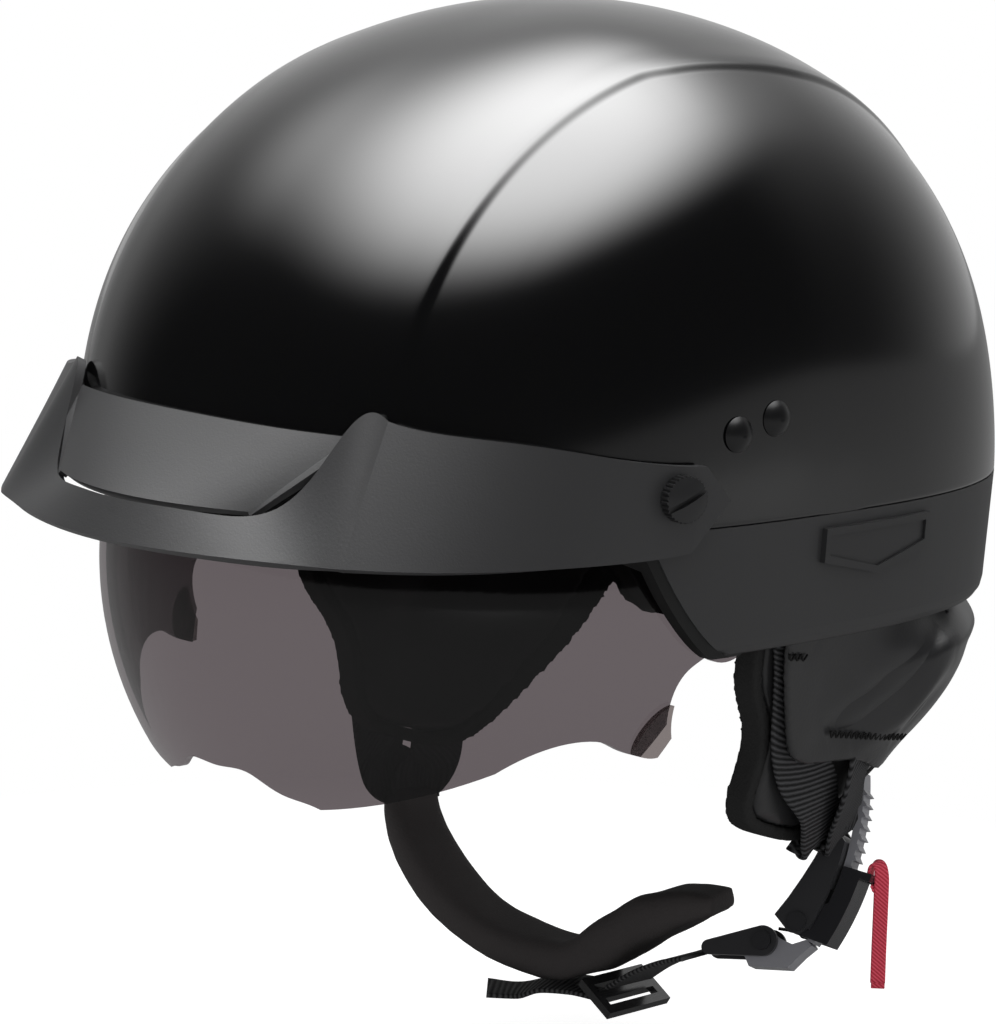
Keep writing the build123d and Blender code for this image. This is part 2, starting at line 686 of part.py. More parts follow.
def sun_lens():
    """The smoked lens: an even-walled band with two round ears and a nose arch."""
    band = lens_band(0, -lens_thickness, -lens_drop_angle, lens_top_angle) & lens_side()
    lens = band - nose_arch() + both_sides(lens_ear())
    hole = pivot_disc(lens_half_width - crossing, 2 * crossing, pivot_pin_radius + running_gap)
    return lens - both_sides(hole)


def lens_grips():
    """Thicker finger grips on the lens's rear lower corners."""
    outline = [(pivot_y + lens_radius * y, pivot_z + lens_radius * z) for y, z in grip_outline_shares]
    face = make_face(Spline(*outline, periodic=True))
    band = lens_band(grip_thickness, 0, -lens_drop_angle - grip_extra_angle, 0)
    return band & side_prism(face) & lens_side()


def pivot_plate():
    """The plate that carries a lens ear: a disc, an arm and a post up to the skirt's wall."""
    start = lens_ear_outer + pivot_plate_gap
    disc = pivot_disc(start, pivot_plate_thickness, pivot_plate_radius)
    tab = (pivot_tab_y - pivot_y, pivot_tab_z - pivot_z)
    hub = Pos(0, 0) * Circle(pivot_plate_radius)
    knob = Pos(*tab) * Circle(pivot_tab_width / 2)
    web = make_hull(hub.edges() + knob.edges())
    plate = Pos(start, pivot_y, pivot_z) * extrude(Plane.YZ * web, amount=pivot_plate_thickness)
    reach = side_x(pivot_tab_y, pivot_tab_z) - shell_wall - pivot_post_gap - start
    post = Pos(start, pivot_tab_y, pivot_tab_z) * Rot(0, 90, 0) * Cylinder(
        pivot_post_radius, reach, align=(Align.CENTER, Align.CENTER, Align.MIN))
    hole = pivot_disc(start - crossing, 2 * crossing, pivot_pin_radius + running_gap)
    return disc + plate + post - hole


def pivot_screws():
    """Slotted screws that the lens's ears turn on."""
    end = lens_ear_outer + pivot_plate_gap + pivot_plate_thickness
    head_start = lens_ear_outer - lens_thickness - pivot_head_gap - pivot_head_thickness
    pin = pivot_disc(head_start, end - head_start, pivot_pin_radius)
    head = pivot_disc(head_start, pivot_head_thickness, pivot_head_radius)
    slot = Pos(head_start, pivot_y, pivot_z) * Box(2 * pivot_slot_depth, 2 * pivot_head_radius, pivot_slot_width)
    return both_sides(pin + head - slot)


def impact_liner():
    """The foam liner: it fills the shell, with room for the head, the lens and the strap legs."""
    liner = dome(dome_sizes, shell_wall + liner_seat_gap, -liner_depth)
    liner -= dome(head_sizes, 0, -liner_depth - overrun)
    thinner = dome(dome_sizes, liner_band_recess, -liner_depth - overrun)
    liner -= slab(-liner_depth - overrun, liner_band_height) - thinner
    lower = drafted_block(liner_skirt_recess, -liner_depth - overrun, liner_skirt_top + overrun)
    liner -= slab(-liner_depth - overrun, liner_skirt_top) - lower
    pocket = lens_band(overrun, -lens_thickness - lens_pocket_gap, -lens_drop_angle - pocket_extra_angle,
                       lens_top_angle + lens_travel + pocket_extra_angle)
    liner -= pocket
    depth = side_pocket_front + side_pocket_back
    tall = side_pocket_top + liner_depth + overrun
    side = Pos(side_pocket_half_width + overrun / 2, (side_pocket_back - side_pocket_front) / 2,
               side_pocket_top - tall / 2) * Box(overrun, depth, tall)
    liner -= both_sides(side)
    return liner - face_opening(liner_face_setback)


def liner_pad(low, high, front, back, side=0):
    """A comfort pad: the skin of the head space between two heights and two places along Y."""
    bottom = -liner_depth - overrun
    skin = dome(head_sizes, pad_gap, bottom) - dome(head_sizes, pad_gap + pad_thickness, bottom)
    wide = head_half_width + overrun
    across = wide if side else 2 * wide
    block = Pos(side * wide / 2, (front + back) / 2, (low + high) / 2) * Box(across, back - front, high - low)
    return skin & block


def crown_pad():
    far = head_front_reach + overrun
    return liner_pad(crown_pad_base, full_height, -far, far)


def brow_pad():
    pad = liner_pad(-ring_pad_bottom, ring_pad_top, -head_front_reach - overrun, -brow_pad_back)
    return pad - face_opening(liner_face_setback + pad_gap)


def side_pad():
    front, back = -brow_pad_back + pad_split_gap, nape_pad_front - pad_split_gap
    pad = liner_pad(-ring_pad_bottom, ring_pad_top, front, back, 1)
    return pad - face_opening(liner_face_setback + pad_gap)


def nape_pad():
    return liner_pad(-ring_pad_bottom, ring_pad_top, nape_pad_front, head_back_reach + overrun)


def unit(vector):
    return vector.normalized()


def ribbed_loft(uppers, lowers, thickness, ruled=False):
    """A skin between an upper and a lower curve, its thickness inward: parallelogram sections joined."""
    faces = []
    for place, (upper, lower) in enumerate(zip(uppers, lowers)):
        before, after = max(place - 1, 0), min(place + 1, len(uppers) - 1)
        along = (uppers[after] + lowers[after]) - (uppers[before] + lowers[before])
        inward = unit(along.cross(lower - upper)) * thickness
        faces.append(make_face(Polyline(upper, lower, lower + inward, upper + inward, close=True)))
    return loft(faces, ruled=ruled)


def mirrored(points):
    """Points of the left half with their mirror images in front, from right to left."""
    other = [Vector(-p.X, p.Y, p.Z) for p in reversed(points) if p.X > 0]
    return other + list(points)


def between(first, last, share):
    return first + (last - first) * share


def edge_point(share):
    """A point of the peak's free edge at a share of its half width."""
    table = peak_edge_shares
    spot = max(index for index, row in enumerate(table[:-1]) if row[0] <= share)
    (x0, y0), (x1, y1) = table[spot], table[spot + 1]
    part = (share - x0) / (x1 - x0)
    return Vector(peak_half_width * share, -peak_reach * (y0 + (y1 - y0) * part), peak_edge_height)


def peak():
    """The sun peak: a lip round the front, two arms, a sunk centre panel and the bevels between them."""
    stand = peak_gap + peak_thickness
    horn = Vector(horn_x, end_y(horn_x, horn_height, stand), horn_height)
    slot_end = Vector(slot_half_width, -slot_end_reach, slot_height)
    slot_middle = Vector(0, -slot_reach, slot_height)
    slot_side = Vector(slot_half_width / 2, -(slot_reach + (slot_end_reach - slot_reach) * slot_side_share), slot_height)
    uppers = mirrored([slot_middle, slot_side, slot_end, between(slot_end, horn, 0.5), horn])
    lowers = mirrored([edge_point(share) for share in lip_edge_shares])
    lip = ribbed_loft(uppers, lowers, peak_thickness)
    arm_uppers = [horn]
    for share, height in zip(peak_top_width_shares, peak_top_heights):
        x = peak_half_width * share
        arm_uppers.append(Vector(x, end_y(x, height, stand), height))
    arm_uppers.append(Vector(side_x(arm_end_y, arm_end_top, stand), arm_end_y, arm_end_top))
    arm_lowers = [edge_point(share) for share in arm_edge_shares]
    foot_y = arm_end_y - arm_end_lean
    arm_lowers.append(Vector(side_x(foot_y, arm_end_bottom, stand), foot_y, arm_end_bottom))
    arm = ribbed_loft(arm_uppers, arm_lowers, peak_thickness)
    tip = Vector(side_x(arm_tip_y, arm_tip_z, stand), arm_tip_y, arm_tip_z)
    arm += arm_end(arm_uppers[-1], tip, arm_lowers[-1])
    panel_stand = peak_gap + peak_thickness
    top = [Vector(x * panel_half_width, end_y(x * panel_half_width, panel_height, panel_stand), panel_height)
           for x in panel_shares]
    slot = [Vector(slot_half_width * x, -slot_reach + (slot_reach - slot_end_reach) * x ** 2, slot_height)
            for x in panel_shares]
    foot = [between(high, low, 1 - slot_gap / (low - high).length) for high, low in zip(top, slot)]
    panel = ribbed_loft(mirrored(top), mirrored(foot), peak_thickness)
    corner = between(top[-1], top[-2], panel_lap_share)
    toe = between(foot[-1], foot[-2], panel_lap_share)
    bevel = ribbed_loft([horn, between(horn, slot_end, 0.5), slot_end],
                        [corner, between(corner, toe, 0.5), toe], peak_thickness, True)
    part = lip + panel + both_sides(arm) + both_sides(bevel)
    hole = side_frame(screw_y, screw_z) * Cylinder(screw_shank_radius + screw_hole_gap, 4 * crossing)
    return part - both_sides(hole)


def arm_end(upper, tip, lower):
    """The pointed end of an arm."""
    inward = unit((lower - upper).cross(tip - upper))
    if inward.X > 0:
        inward = -inward
    return extrude(make_face(Polyline(upper, tip, lower, close=True)), amount=peak_thickness, dir=inward)


def curtain_lean(height):
    """How far the curtain's outer face stands out from its top line at a height; it curls inward lower down."""
    drop = height + curtain_top
    curl = curtain_curl * min(drop, 0) ** 2 / curtain_hem_depth
    return curtain_draft * drop - curl


def apron_block(inset, swell, top, bottom):
    """A block of the curtain's plan that swells between its top and its bottom."""
    faces = []
    for share, bulge in curtain_swell_shares:
        height = top + (bottom - top) * share
        lean = curtain_lean(height) - inset + swell * bulge
        half, front, back = (size + lean for size in curtain_sizes)
        faces.append(plan_face(half, front, back, height))
    return loft(faces)


def apron(outer, inner, swell, top):
    """The curtain's wall between two insets, swollen inward, from its top to below its hem."""
    bottom = -curtain_hem_depth - crossing
    return apron_block(outer, 0, top, bottom) - apron_block(inner, -swell, top, bottom)


def curtain_outline(shares, margin=0.0):
    """An outline of the curtain seen from the side, its free edge moved in by a margin and closed on top."""
    curve = Spline(*[(curtain_hem_depth * y, curtain_hem_depth * z) for y, z in shares])
    edge = []
    for number in range(outline_samples + 1):
        share = number / outline_samples
        along = curve.tangent_at(share)
        edge.append(curve.position_at(share) + Vector(-along.Y, along.X) * margin)
    first, last = edge[0], edge[-1]
    corners = [Vector(last.X, 0), Vector(first.X, 0)]
    return make_face([Spline(*edge), Polyline(last, *corners, first)])


def curtain_body():
    """The padded apron round the ears and the nape, with its crowned inner face."""
    wall = apron(0, curtain_thickness, curtain_swell, -curtain_top - seat_gap)
    return wall & side_prism(curtain_outline(curtain_outline_shares, binding_width + binding_gap))


def curtain_binding():
    """The bound edge round the apron."""
    wall = apron(0, curtain_thickness, curtain_swell, -curtain_top - seat_gap)
    inside = side_prism(curtain_outline(curtain_outline_shares, binding_width))
    return (wall & side_prism(curtain_outline(curtain_outline_shares))) - inside


def curtain_cover():
    """The outer layer down to the slot that the strap legs leave through."""
    inner = -curtain_cover_gap
    wall = apron(inner - curtain_cover_thickness, inner, 0, -curtain_cover_top)
    return wall & side_prism(curtain_outline(cover_outline_shares))


def curtain_snaps():
    """Snap studs between the cover and the skirt's wall, their ends shaped to both."""
    height = -curtain_cover_top - snap_radius - snap_margin
    studs = [Pos(shell_half_width, y, height) * Rot(0, 90, 0) * Cylinder(snap_radius, overrun) for y in snap_places]
    wall = drafted_block(skirt_wall + snap_gap, -skirt_depth - overrun, overrun)
    stand = curtain_cover_gap + curtain_cover_thickness + snap_gap
    inner = apron_block(-stand, 0, -curtain_cover_top + overrun, -curtain_hem_depth)
    return both_sides(((Part() + studs) & wall) - inner)


def route(shares, reach=strap_reach):
    return [Vector(*(reach * share for share in row)) for row in shares]


def stations(points, facings, count=station_count):
    """Planes along a smooth route: X across the strap, Y to its face and Z along it."""
    path = Spline(*points)
    planes = []
    for number in range(count):
        share = number / (count - 1)
        spot = share * (len(facings) - 1)
        low = min(int(spot), len(facings) - 2)
        facing = between(Vector(*facings[low]), Vector(*facings[low + 1]), spot - low)
        planes.append((share, path.position_at(share), path.tangent_at(share), facing))
    return [(share, Plane(origin=place, x_dir=along.cross(facing), z_dir=along))
            for share, place, along, facing in planes]


def run_sizes(height):
    """Plan sizes of the surface that the strap legs run down on: inside the shell, then behind the cover."""
    skin = webbing_thickness / 2
    tongue = shell_wall + seat_gap + skirt_tongue_thickness + leg_gap + skin
    inner = [size - tongue for size in dome_sizes[:3]]
    stand = curtain_cover_gap / 2
    rows = [(settle_top, plan_sizes(dome_sizes, settle_top, shell_wall + anchor_gap + skin)),
            (skirt_tongue_height + settle_margin, inner), (-skirt_tongue_root - settle_margin, inner),
            (-curtain_top, [size + stand for size in curtain_sizes])]
    if height >= settle_top:
        return plan_sizes(dome_sizes, height, shell_wall + anchor_gap + skin)
    if height <= -curtain_top:
        return [size + stand + curtain_lean(height) for size in curtain_sizes]
    for (high, above), (low, below) in zip(rows, rows[1:]):
        if height >= low:
            share = (high - height) / (high - low)
            return [first + (last - first) * share for first, last in zip(above, below)]


def on_run(point):
    """The place where a line from the axis through a point meets the legs' surface."""
    half, front, back = run_sizes(point.Z)
    reach = front if point.Y < 0 else back
    share = (abs(point.X / half) ** plan_power + abs(point.Y / reach) ** plan_power) ** (-1 / plan_power)
    return Vector(point.X * share, point.Y * share, point.Z)


def run_facing(point):
    """The outward normal of the legs' surface."""
    half, front, back = run_sizes(point.Z)
    reach = front if point.Y < 0 else back
    out = Vector(abs(point.X / half) ** (plan_power - 1) / half,
                 abs(point.Y / reach) ** (plan_power - 1) / reach * (-1 if point.Y < 0 else 1))
    rise = on_run(point + Vector(0, 0, settle_probe)) - on_run(point - Vector(0, 0, settle_probe))
    return unit(Vector(-out.Y, out.X, 0).cross(rise))


def leg(shares, facings, low=settle_height):
    """A strap leg: settled on its surface down to the cover's hem, free below it."""
    rough = stations(route(shares), facings)
    places, faces = [], []
    for share, plane in rough:
        place, facing = plane.origin, plane.y_dir
        if place.Z > low:
            place = on_run(place)
            facing = run_facing(place)
        places.append(place)
        faces.append(facing)
    sections = []
    for number, place in enumerate(places):
        before, after = max(number - 1, 0), min(number + 1, len(places) - 1)
        along = places[after] - places[before]
        sections.append(Plane(origin=place, x_dir=along.cross(faces[number]), z_dir=along) * Rectangle(
            webbing_width, webbing_thickness))
    return loft(sections, ruled=True) - rivet_shanks(running_gap)


def strip(points, facings, width, thickness):
    """A flat strap along a route."""
    sections = [plane * Rectangle(width, thickness) for share, plane in stations(points, facings)]
    return loft(sections, ruled=True)


def front_leg():
    return leg(front_leg_shares, front_leg_facings)


def rear_leg():
    return leg(rear_leg_shares, rear_leg_facings)


def far_leg(shares, facings, end_shares):
    """A leg of the right side, modelled on the left: its upper route, then down to the padded strap."""
    upper = shares[:far_leg_points]
    upper_facings = facings[:far_leg_points]
    strap = leg([*upper, *end_shares], [*upper_facings, *far_end_facings], far_settle_height)
    return mirror(strap, about=Plane.YZ)


def chin_pad():
    """The padded sleeve of the chin strap: rounded sections that swell and narrow along its route."""
    sections = []
    for share, plane in stations(route(chin_pad_shares), chin_pad_facings, chin_pad_stations):
        spot = share * (len(chin_pad_fill_shares) - 1)
        low = min(int(spot), len(chin_pad_fill_shares) - 2)
        fill = chin_pad_fill_shares[low] + (chin_pad_fill_shares[low + 1] - chin_pad_fill_shares[low]) * (spot - low)
        thick = chin_pad_thickness * fill
        sections.append(plane * RectangleRounded(chin_pad_width * (1 + fill) / 2, thick,
                                                 thick * chin_pad_corner_share))
    return loft(sections, ruled=True)


def chin_webbing():
    return strip(route(chin_webbing_shares), chin_webbing_facings, webbing_width, webbing_thickness)


def webbing_tail():
    """The free end of the webbing, folded over and sewn at its tip."""
    points = route(tail_shares)
    tail = strip(points, tail_facings, webbing_width, webbing_thickness)
    share, plane = stations(points, tail_facings)[-1]
    fold = plane * Pos(0, 0, -tail_fold_length / 2) * Box(webbing_width, tail_fold_thickness, tail_fold_length)
    return tail + fold


def slider():
    """The three-bar slider, its two slots as wide as the webbing."""
    plate = Box(slider_length, slider_width, slider_thickness)
    slot = (slider_length - 3 * slider_bar) / 2
    opening = Box(slot, webbing_width + 2 * slider_side_gap, slider_thickness)
    shift = (slot + slider_bar) / 2
    plate -= Pos(shift, 0, 0) * opening
    plate -= Pos(-shift, 0, 0) * opening
    place = Pos(*route([slider_place_shares])[0])
    return place * Rot(0, slider_tilt, 0) * plate


lean, turn = radians(buckle_lean), radians(buckle_turn)
buckle_place = Plane(origin=buckle_pin, x_dir=(cos(turn), sin(turn), 0),
                     z_dir=(-sin(turn) * sin(lean), cos(turn) * sin(lean), cos(lean)))
arc_centre = tuple(strap_arc_radius * share for share in strap_arc_centre_shares)


def frame_points(shares):
    return [(frame_height * across, frame_height * up) for across, up in shares]


def plate_of(face, start, thickness):
    """A face in the buckle's (X, Z) plane made a plate from a place along the pins."""
    return Pos(0, start, 0) * extrude(Plane.XZ * face, amount=-thickness)


def arc_point(radius, angle):
    return (arc_centre[0] + radius * cos(radians(angle)), arc_centre[1] + radius * sin(radians(angle)))


def arc_band(inner, outer, low, high):
    """A band about the centre of the toothed strap's arc."""
    ends = [arc_point(radius, angle) for angle in (low, high) for radius in (inner, outer)]
    return make_face([CenterArc(arc_centre, inner, low, high - low), Line(ends[2], ends[3]),
                      CenterArc(arc_centre, outer, low, high - low), Line(ends[1], ends[0])])


def cross_pin(centre, radius, start, length):
    return Pos(centre[0], start + length / 2, centre[1]) * Rot(90, 0, 0) * Cylinder(radius, length)


def buckle_frame():
    """Two curved side plates, the floor that the tongue slides on, and the bar for the strap legs."""
    points = frame_points(frame_outline_shares)
    lowest = points[-1]
    start_angle = degrees(atan2(lowest[1] - arc_centre[1], lowest[0] - arc_centre[0]))
    outer_end = arc_point(strap_arc_radius, frame_top_angle)
    face = make_face([Polyline(outer_end, *points), Line(lowest, arc_point(strap_arc_radius, start_angle)),
                      CenterArc(arc_centre, strap_arc_radius, start_angle, frame_top_angle - start_angle)])
    plates = plate_of(face, 0, frame_plate) + plate_of(face, buckle_width - frame_plate, frame_plate)
    floor = plate_of(arc_band(strap_arc_radius - frame_floor, strap_arc_radius, frame_floor_foot_angle,
                              frame_top_angle), 0, buckle_width)
    bar_angle = frame_top_angle * frame_bar_share
    bar = cross_pin(arc_point(strap_arc_radius - frame_bar_depth, bar_angle), frame_bar_radius, 0, buckle_width)
    hole = cross_pin((0, 0), pin_radius + running_gap, -crossing, buckle_width + 2 * crossing)
    return buckle_place * (plates + floor + bar - hole)


def headed_pin(centre, start, length, radius):
    pin = cross_pin(centre, radius, start, length)
    low = cross_pin(centre, pin_head_radius, start - pin_head_height, pin_head_height)
    high = cross_pin(centre, pin_head_radius, start + length, pin_head_height)
    return pin + low + high


def lever_pin():
    return buckle_place * headed_pin((0, 0), -head_gap, buckle_width + 2 * head_gap, pin_radius)


def toothed_tongue():
    """The curved tongue with its ratchet teeth outward and its root round the bracket's pin."""
    inner = strap_arc_radius + tongue_gap
    outer = inner + tongue_thickness
    start = (buckle_width - tongue_width) / 2
    tongue = plate_of(arc_band(inner, outer, tongue_root_angle, tongue_top_angle), start, tongue_width)
    teeth = []
    for number in range(tooth_count):
        angle = tooth_first_angle + tooth_pitch_angle * number
        foot = angle + tooth_pitch_angle * tooth_width_share
        back = angle - tooth_pitch_angle * tooth_root_share
        tooth = make_face(Polyline(arc_point(outer - tooth_height, back), arc_point(outer + tooth_height, angle),
                                   arc_point(outer, foot), arc_point(outer - tooth_height, foot), close=True))
        teeth.append(plate_of(tooth, start, tongue_width))
    root = plate_of(make_face(Polyline(*frame_points(tongue_root_shares), close=True)), start, tongue_width)
    hole = cross_pin(chin_pin(), pin_radius + running_gap, -crossing, buckle_width + 2 * crossing)
    return buckle_place * (tongue + teeth + root - hole)


def chin_pin():
    return frame_points([chin_pin_shares])[0]


def bracket_pin():
    start = frame_plate + bracket_side_gap
    return buckle_place * headed_pin(chin_pin(), start, buckle_width - 2 * start, pin_radius)


def chin_bracket():
    """Two cheeks that swing on the tongue's root pin and a bar that the chin webbing loops round."""
    start = frame_plate + bracket_side_gap + head_gap
    end = frame_points([bracket_end_shares])[0]
    eye = Pos(*chin_pin()) * Circle(bracket_eye_radius)
    tail = Pos(*end) * Circle(bracket_end_radius)
    cheek = make_hull(eye.edges() + tail.edges())
    high = buckle_width - start - bracket_plate
    bracket = plate_of(cheek, start, bracket_plate) + plate_of(cheek, high, bracket_plate)
    bracket += cross_pin(end, bracket_bar_radius, start, buckle_width - 2 * start)
    hole = cross_pin(chin_pin(), pin_radius + running_gap, -crossing, buckle_width + 2 * crossing)
    return buckle_place * (bracket - hole)


def release_lever():
    """The lever: two ears on the pin, a roof over the teeth, the pawl under it and the ribbon's lip."""
    crest = strap_arc_radius + tongue_gap + tongue_thickness + tooth_height
    roof = crest + lever_roof_gap
    top = roof + lever_roof
    start = frame_plate + lever_side_gap
    high = buckle_width - start - lever_ear
    hub = Circle(lever_hub_radius)
    web = make_hull(hub.edges() + Polyline(arc_point(strap_arc_radius + lever_inner_gap, lever_web_angle),
                                           arc_point(top, lever_foot_angle)).edges())
    band = arc_band(strap_arc_radius + lever_inner_gap, top, lever_foot_angle, lever_end_angle)
    lever = Part()
    for place in (start, high):
        lever += plate_of(web, place, lever_ear) + plate_of(band, place, lever_ear)
    width = buckle_width - 2 * start
    lever += plate_of(arc_band(roof, top, lever_foot_angle, lever_end_angle), start, width)
    lip = arc_band(roof, top + lever_lip, lever_end_angle - lever_lip_angle, lever_end_angle)
    lever += plate_of(lip, start, width)
    pawl = make_face(Polyline(arc_point(crest + pawl_gap, pawl_angle),
                              arc_point(roof + lever_roof / 2, pawl_angle + pawl_spread_angle),
                              arc_point(roof + lever_roof / 2, pawl_angle - pawl_spread_angle), close=True))
    lever += plate_of(pawl, start, width)
    slot_middle = arc_point(top + ribbon_slot_rise, lever_end_angle)
    slot = Pos(slot_middle[0], buckle_width / 2, slot_middle[1]) * Rot(0, -lever_end_angle, 0) * Box(
        ribbon_slot_height, ribbon_slot_width, crossing)
    lever -= slot
    hole = cross_pin((0, 0), pin_radius + running_gap, -crossing, buckle_width + 2 * crossing)
    return buckle_place * (lever - hole)


def lever_spring():
    """The coil round the lever's pin, drawn as its sleeve, and the two legs of its wire."""
    start = frame_plate + lever_side_gap + lever_ear + lever_side_gap
    length = buckle_width - 2 * start
    sleeve = cross_pin((0, 0), spring_radius, start, length)
    sleeve -= cross_pin((0, 0), pin_radius + running_gap, start, length)
    leg = Pos(-spring_leg / 2, start + spring_wire / 2, -spring_radius + spring_wire / 2) * Box(
        spring_leg, spring_wire, spring_wire)
    return buckle_place * (sleeve + leg)


def pull_ribbon():
    """The ribbon: up through the lever's slot, over, and down; its width stays along the pins."""
    path = Spline(*(Vector(*(frame_height * share for share in row)) for row in ribbon_route_shares))
    shares = [number / (ribbon_stations - 1) for number in range(ribbon_stations)]
    planes = [Plane(origin=path @ share, x_dir=(0, 1, 0), z_dir=path % share) for share in shares]
    return buckle_place * loft([plane * Rectangle(ribbon_width, ribbon_thickness) for plane in planes], ruled=True)


def write(name, shape):
    """Write one node's solids."""
    solids = shape.solids()
    export_step(Compound(children=list(solids)) if len(solids) > 1 else solids[0], f"parts/{name}.step")


def main():
    os.makedirs("parts", exist_ok=True)
    badge = badge_plate()
    pads = side_pad()
    plate = pivot_plate()
    screw = thumbscrew()
    nodes = {
        "outer_shell": outer_shell(),
        "lower_skirt": lower_skirt(),
        "skirt_trim": skirt_trim(),
        "badge_plate_left": badge,
        "badge_plate_right": mirror(badge, about=Plane.YZ),
        "strap_rivets": strap_rivets(),
        "strap_anchors": strap_anchors(),
        "peak": peak(),
        "peak_washers": peak_washers(),
        "peak_inserts": peak_inserts(),
        "thumbscrew_left": screw,
        "thumbscrew_right": mirror(screw, about=Plane.YZ),
        "impact_liner": impact_liner(),
        "crown_pad": crown_pad(),
        "brow_pad": brow_pad(),
        "side_pad_left": pads,
        "side_pad_right": mirror(pads, about=Plane.YZ),
        "nape_pad": nape_pad(),
        "sun_lens": sun_lens(),
        "lens_grips": lens_grips(),
        "pivot_plate_left": plate,
        "pivot_plate_right": mirror(plate, about=Plane.YZ),
        "pivot_screws": pivot_screws(),
        "curtain_body": curtain_body(),
        "curtain_cover": curtain_cover(),
        "curtain_binding": curtain_binding(),
        "curtain_snaps": curtain_snaps(),
        "front_leg_left": front_leg(),
        "rear_leg_left": rear_leg(),
        "front_leg_right": far_leg(front_leg_shares, front_leg_facings, far_front_end_shares),
        "rear_leg_right": far_leg(rear_leg_shares, rear_leg_facings, far_rear_end_shares),
        "chin_pad": chin_pad(),
        "chin_webbing": chin_webbing(),
        "webbing_tail": webbing_tail(),
        "webbing_slider": slider(),
        "buckle_frame": buckle_frame(),
        "lever_pin": lever_pin(),
        "release_lever": release_lever(),
        "lever_spring": lever_spring(),
        "toothed_tongue": toothed_tongue(),
        "bracket_pin": bracket_pin(),
        "chin_bracket": chin_bracket(),
        "pull_ribbon": pull_ribbon(),
    }
    for name, shape in nodes.items():
        write(name, shape)


main()
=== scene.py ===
# %% [markdown]
# # Dressing a half shell motorcycle helmet
#
# The frame comes from the solid model: every hard piece is already there, in metres, at its true
# place. This lesson adds what a photograph shows and the solids leave plain: a deep gloss lacquer
# on the shell, moulded matte plastic on the peak and skirt, a smoked lens, soft leatherette with
# folds, bound edges, woven webbing, the padded chin strap and the small ratchet buckle.

# %%
import math

import bmesh
import bpy
import numpy as np
from mathutils import Matrix, Vector


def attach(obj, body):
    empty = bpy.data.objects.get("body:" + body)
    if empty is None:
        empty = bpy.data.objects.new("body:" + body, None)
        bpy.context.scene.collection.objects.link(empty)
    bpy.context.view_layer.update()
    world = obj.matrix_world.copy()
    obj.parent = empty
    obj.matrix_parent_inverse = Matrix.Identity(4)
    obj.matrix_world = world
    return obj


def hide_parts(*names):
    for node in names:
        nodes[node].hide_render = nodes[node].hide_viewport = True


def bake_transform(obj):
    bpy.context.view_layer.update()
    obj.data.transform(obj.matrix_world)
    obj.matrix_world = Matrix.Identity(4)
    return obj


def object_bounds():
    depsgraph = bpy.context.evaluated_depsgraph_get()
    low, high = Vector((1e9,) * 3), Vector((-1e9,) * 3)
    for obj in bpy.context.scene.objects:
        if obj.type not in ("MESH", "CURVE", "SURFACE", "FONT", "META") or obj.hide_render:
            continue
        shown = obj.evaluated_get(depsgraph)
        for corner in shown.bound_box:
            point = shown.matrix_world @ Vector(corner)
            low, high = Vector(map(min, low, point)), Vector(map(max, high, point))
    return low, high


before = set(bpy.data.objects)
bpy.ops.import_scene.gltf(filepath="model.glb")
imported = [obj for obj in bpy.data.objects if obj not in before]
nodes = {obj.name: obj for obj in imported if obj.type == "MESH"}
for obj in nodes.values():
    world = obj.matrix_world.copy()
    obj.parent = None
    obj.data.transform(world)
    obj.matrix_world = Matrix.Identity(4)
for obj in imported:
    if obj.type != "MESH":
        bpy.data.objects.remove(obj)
cad_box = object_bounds()
MM = 0.001
print(len(nodes), "solid nodes loaded")

# %% [markdown]
# ## Camera
#
# A long lens far away keeps the shell's outline nearly parallel, as a catalogue photographer
# would have it. The place comes from lining up the rivets, the peak's corners, the seam and the
# lens pivot with the photograph; the camera stands 45 degrees round to the wearer's left and 10
# degrees up, with a small roll.


# %%
def camera_axes(azimuth, elevation, roll):
    """Directions toward the camera, to its right and up, rolled clockwise."""
    a, e, turn = (math.radians(value) for value in (azimuth, elevation, roll))
    back = Vector((math.sin(a) * math.cos(e), -math.cos(a) * math.cos(e), math.sin(e)))
    right = Vector((math.cos(a), math.sin(a), 0))
    up = Vector((-math.sin(e) * math.sin(a), math.sin(e) * math.cos(a), math.cos(e)))
    return back, right * math.cos(turn) + up * math.sin(turn), up * math.cos(turn) - right * math.sin(turn)


CAMERA_DISTANCE = 1.2499
CAMERA_SHIFT = (-0.01590, -0.01678)
CAMERA_LENS = 151.85
SENSOR = 36.0
back, right, up = camera_axes(44.66, 10.015, 2.0)
camera_data = bpy.data.cameras.new("camera")
camera_data.lens = CAMERA_LENS
camera_data.sensor_width = SENSOR
camera_data.sensor_fit = "HORIZONTAL"
camera = bpy.data.objects.new("camera", camera_data)
bpy.context.scene.collection.objects.link(camera)
place = back * CAMERA_DISTANCE + right * CAMERA_SHIFT[0] + up * CAMERA_SHIFT[1]
rows = [[right[i], up[i], back[i], place[i]] for i in range(3)] + [[0, 0, 0, 1]]
camera.matrix_world = Matrix(rows)
bpy.context.scene.camera = camera
bpy.context.scene.view_settings.view_transform = "Standard"
print("camera at", [round(value, 3) for value in place])

# %% [markdown]
# ## Light
#
# Gloss black shows nothing but what it mirrors, so the light is built backward from the picture:
# the bright soft patch on the crown points straight up at a large overhead softbox, the dark
# flanks face the unlit room behind the camera, and the thin light rims see the pale backdrop.


# %%
def area(name, place, aim, size, power):
    """A round softbox that faces a point and lights the matte pieces; the gloss doesn't mirror it."""
    lamp = bpy.data.lights.new(name, "AREA")
    lamp.shape = "DISK"
    lamp.size = size
    lamp.energy = power
    holder = bpy.data.objects.new(name, lamp)
    holder.visible_glossy = False
    bpy.context.scene.collection.objects.link(holder)
    holder.location = place
    holder.rotation_euler = (Vector(aim) - Vector(place)).to_track_quat("-Z", "Y").to_euler()
    return holder


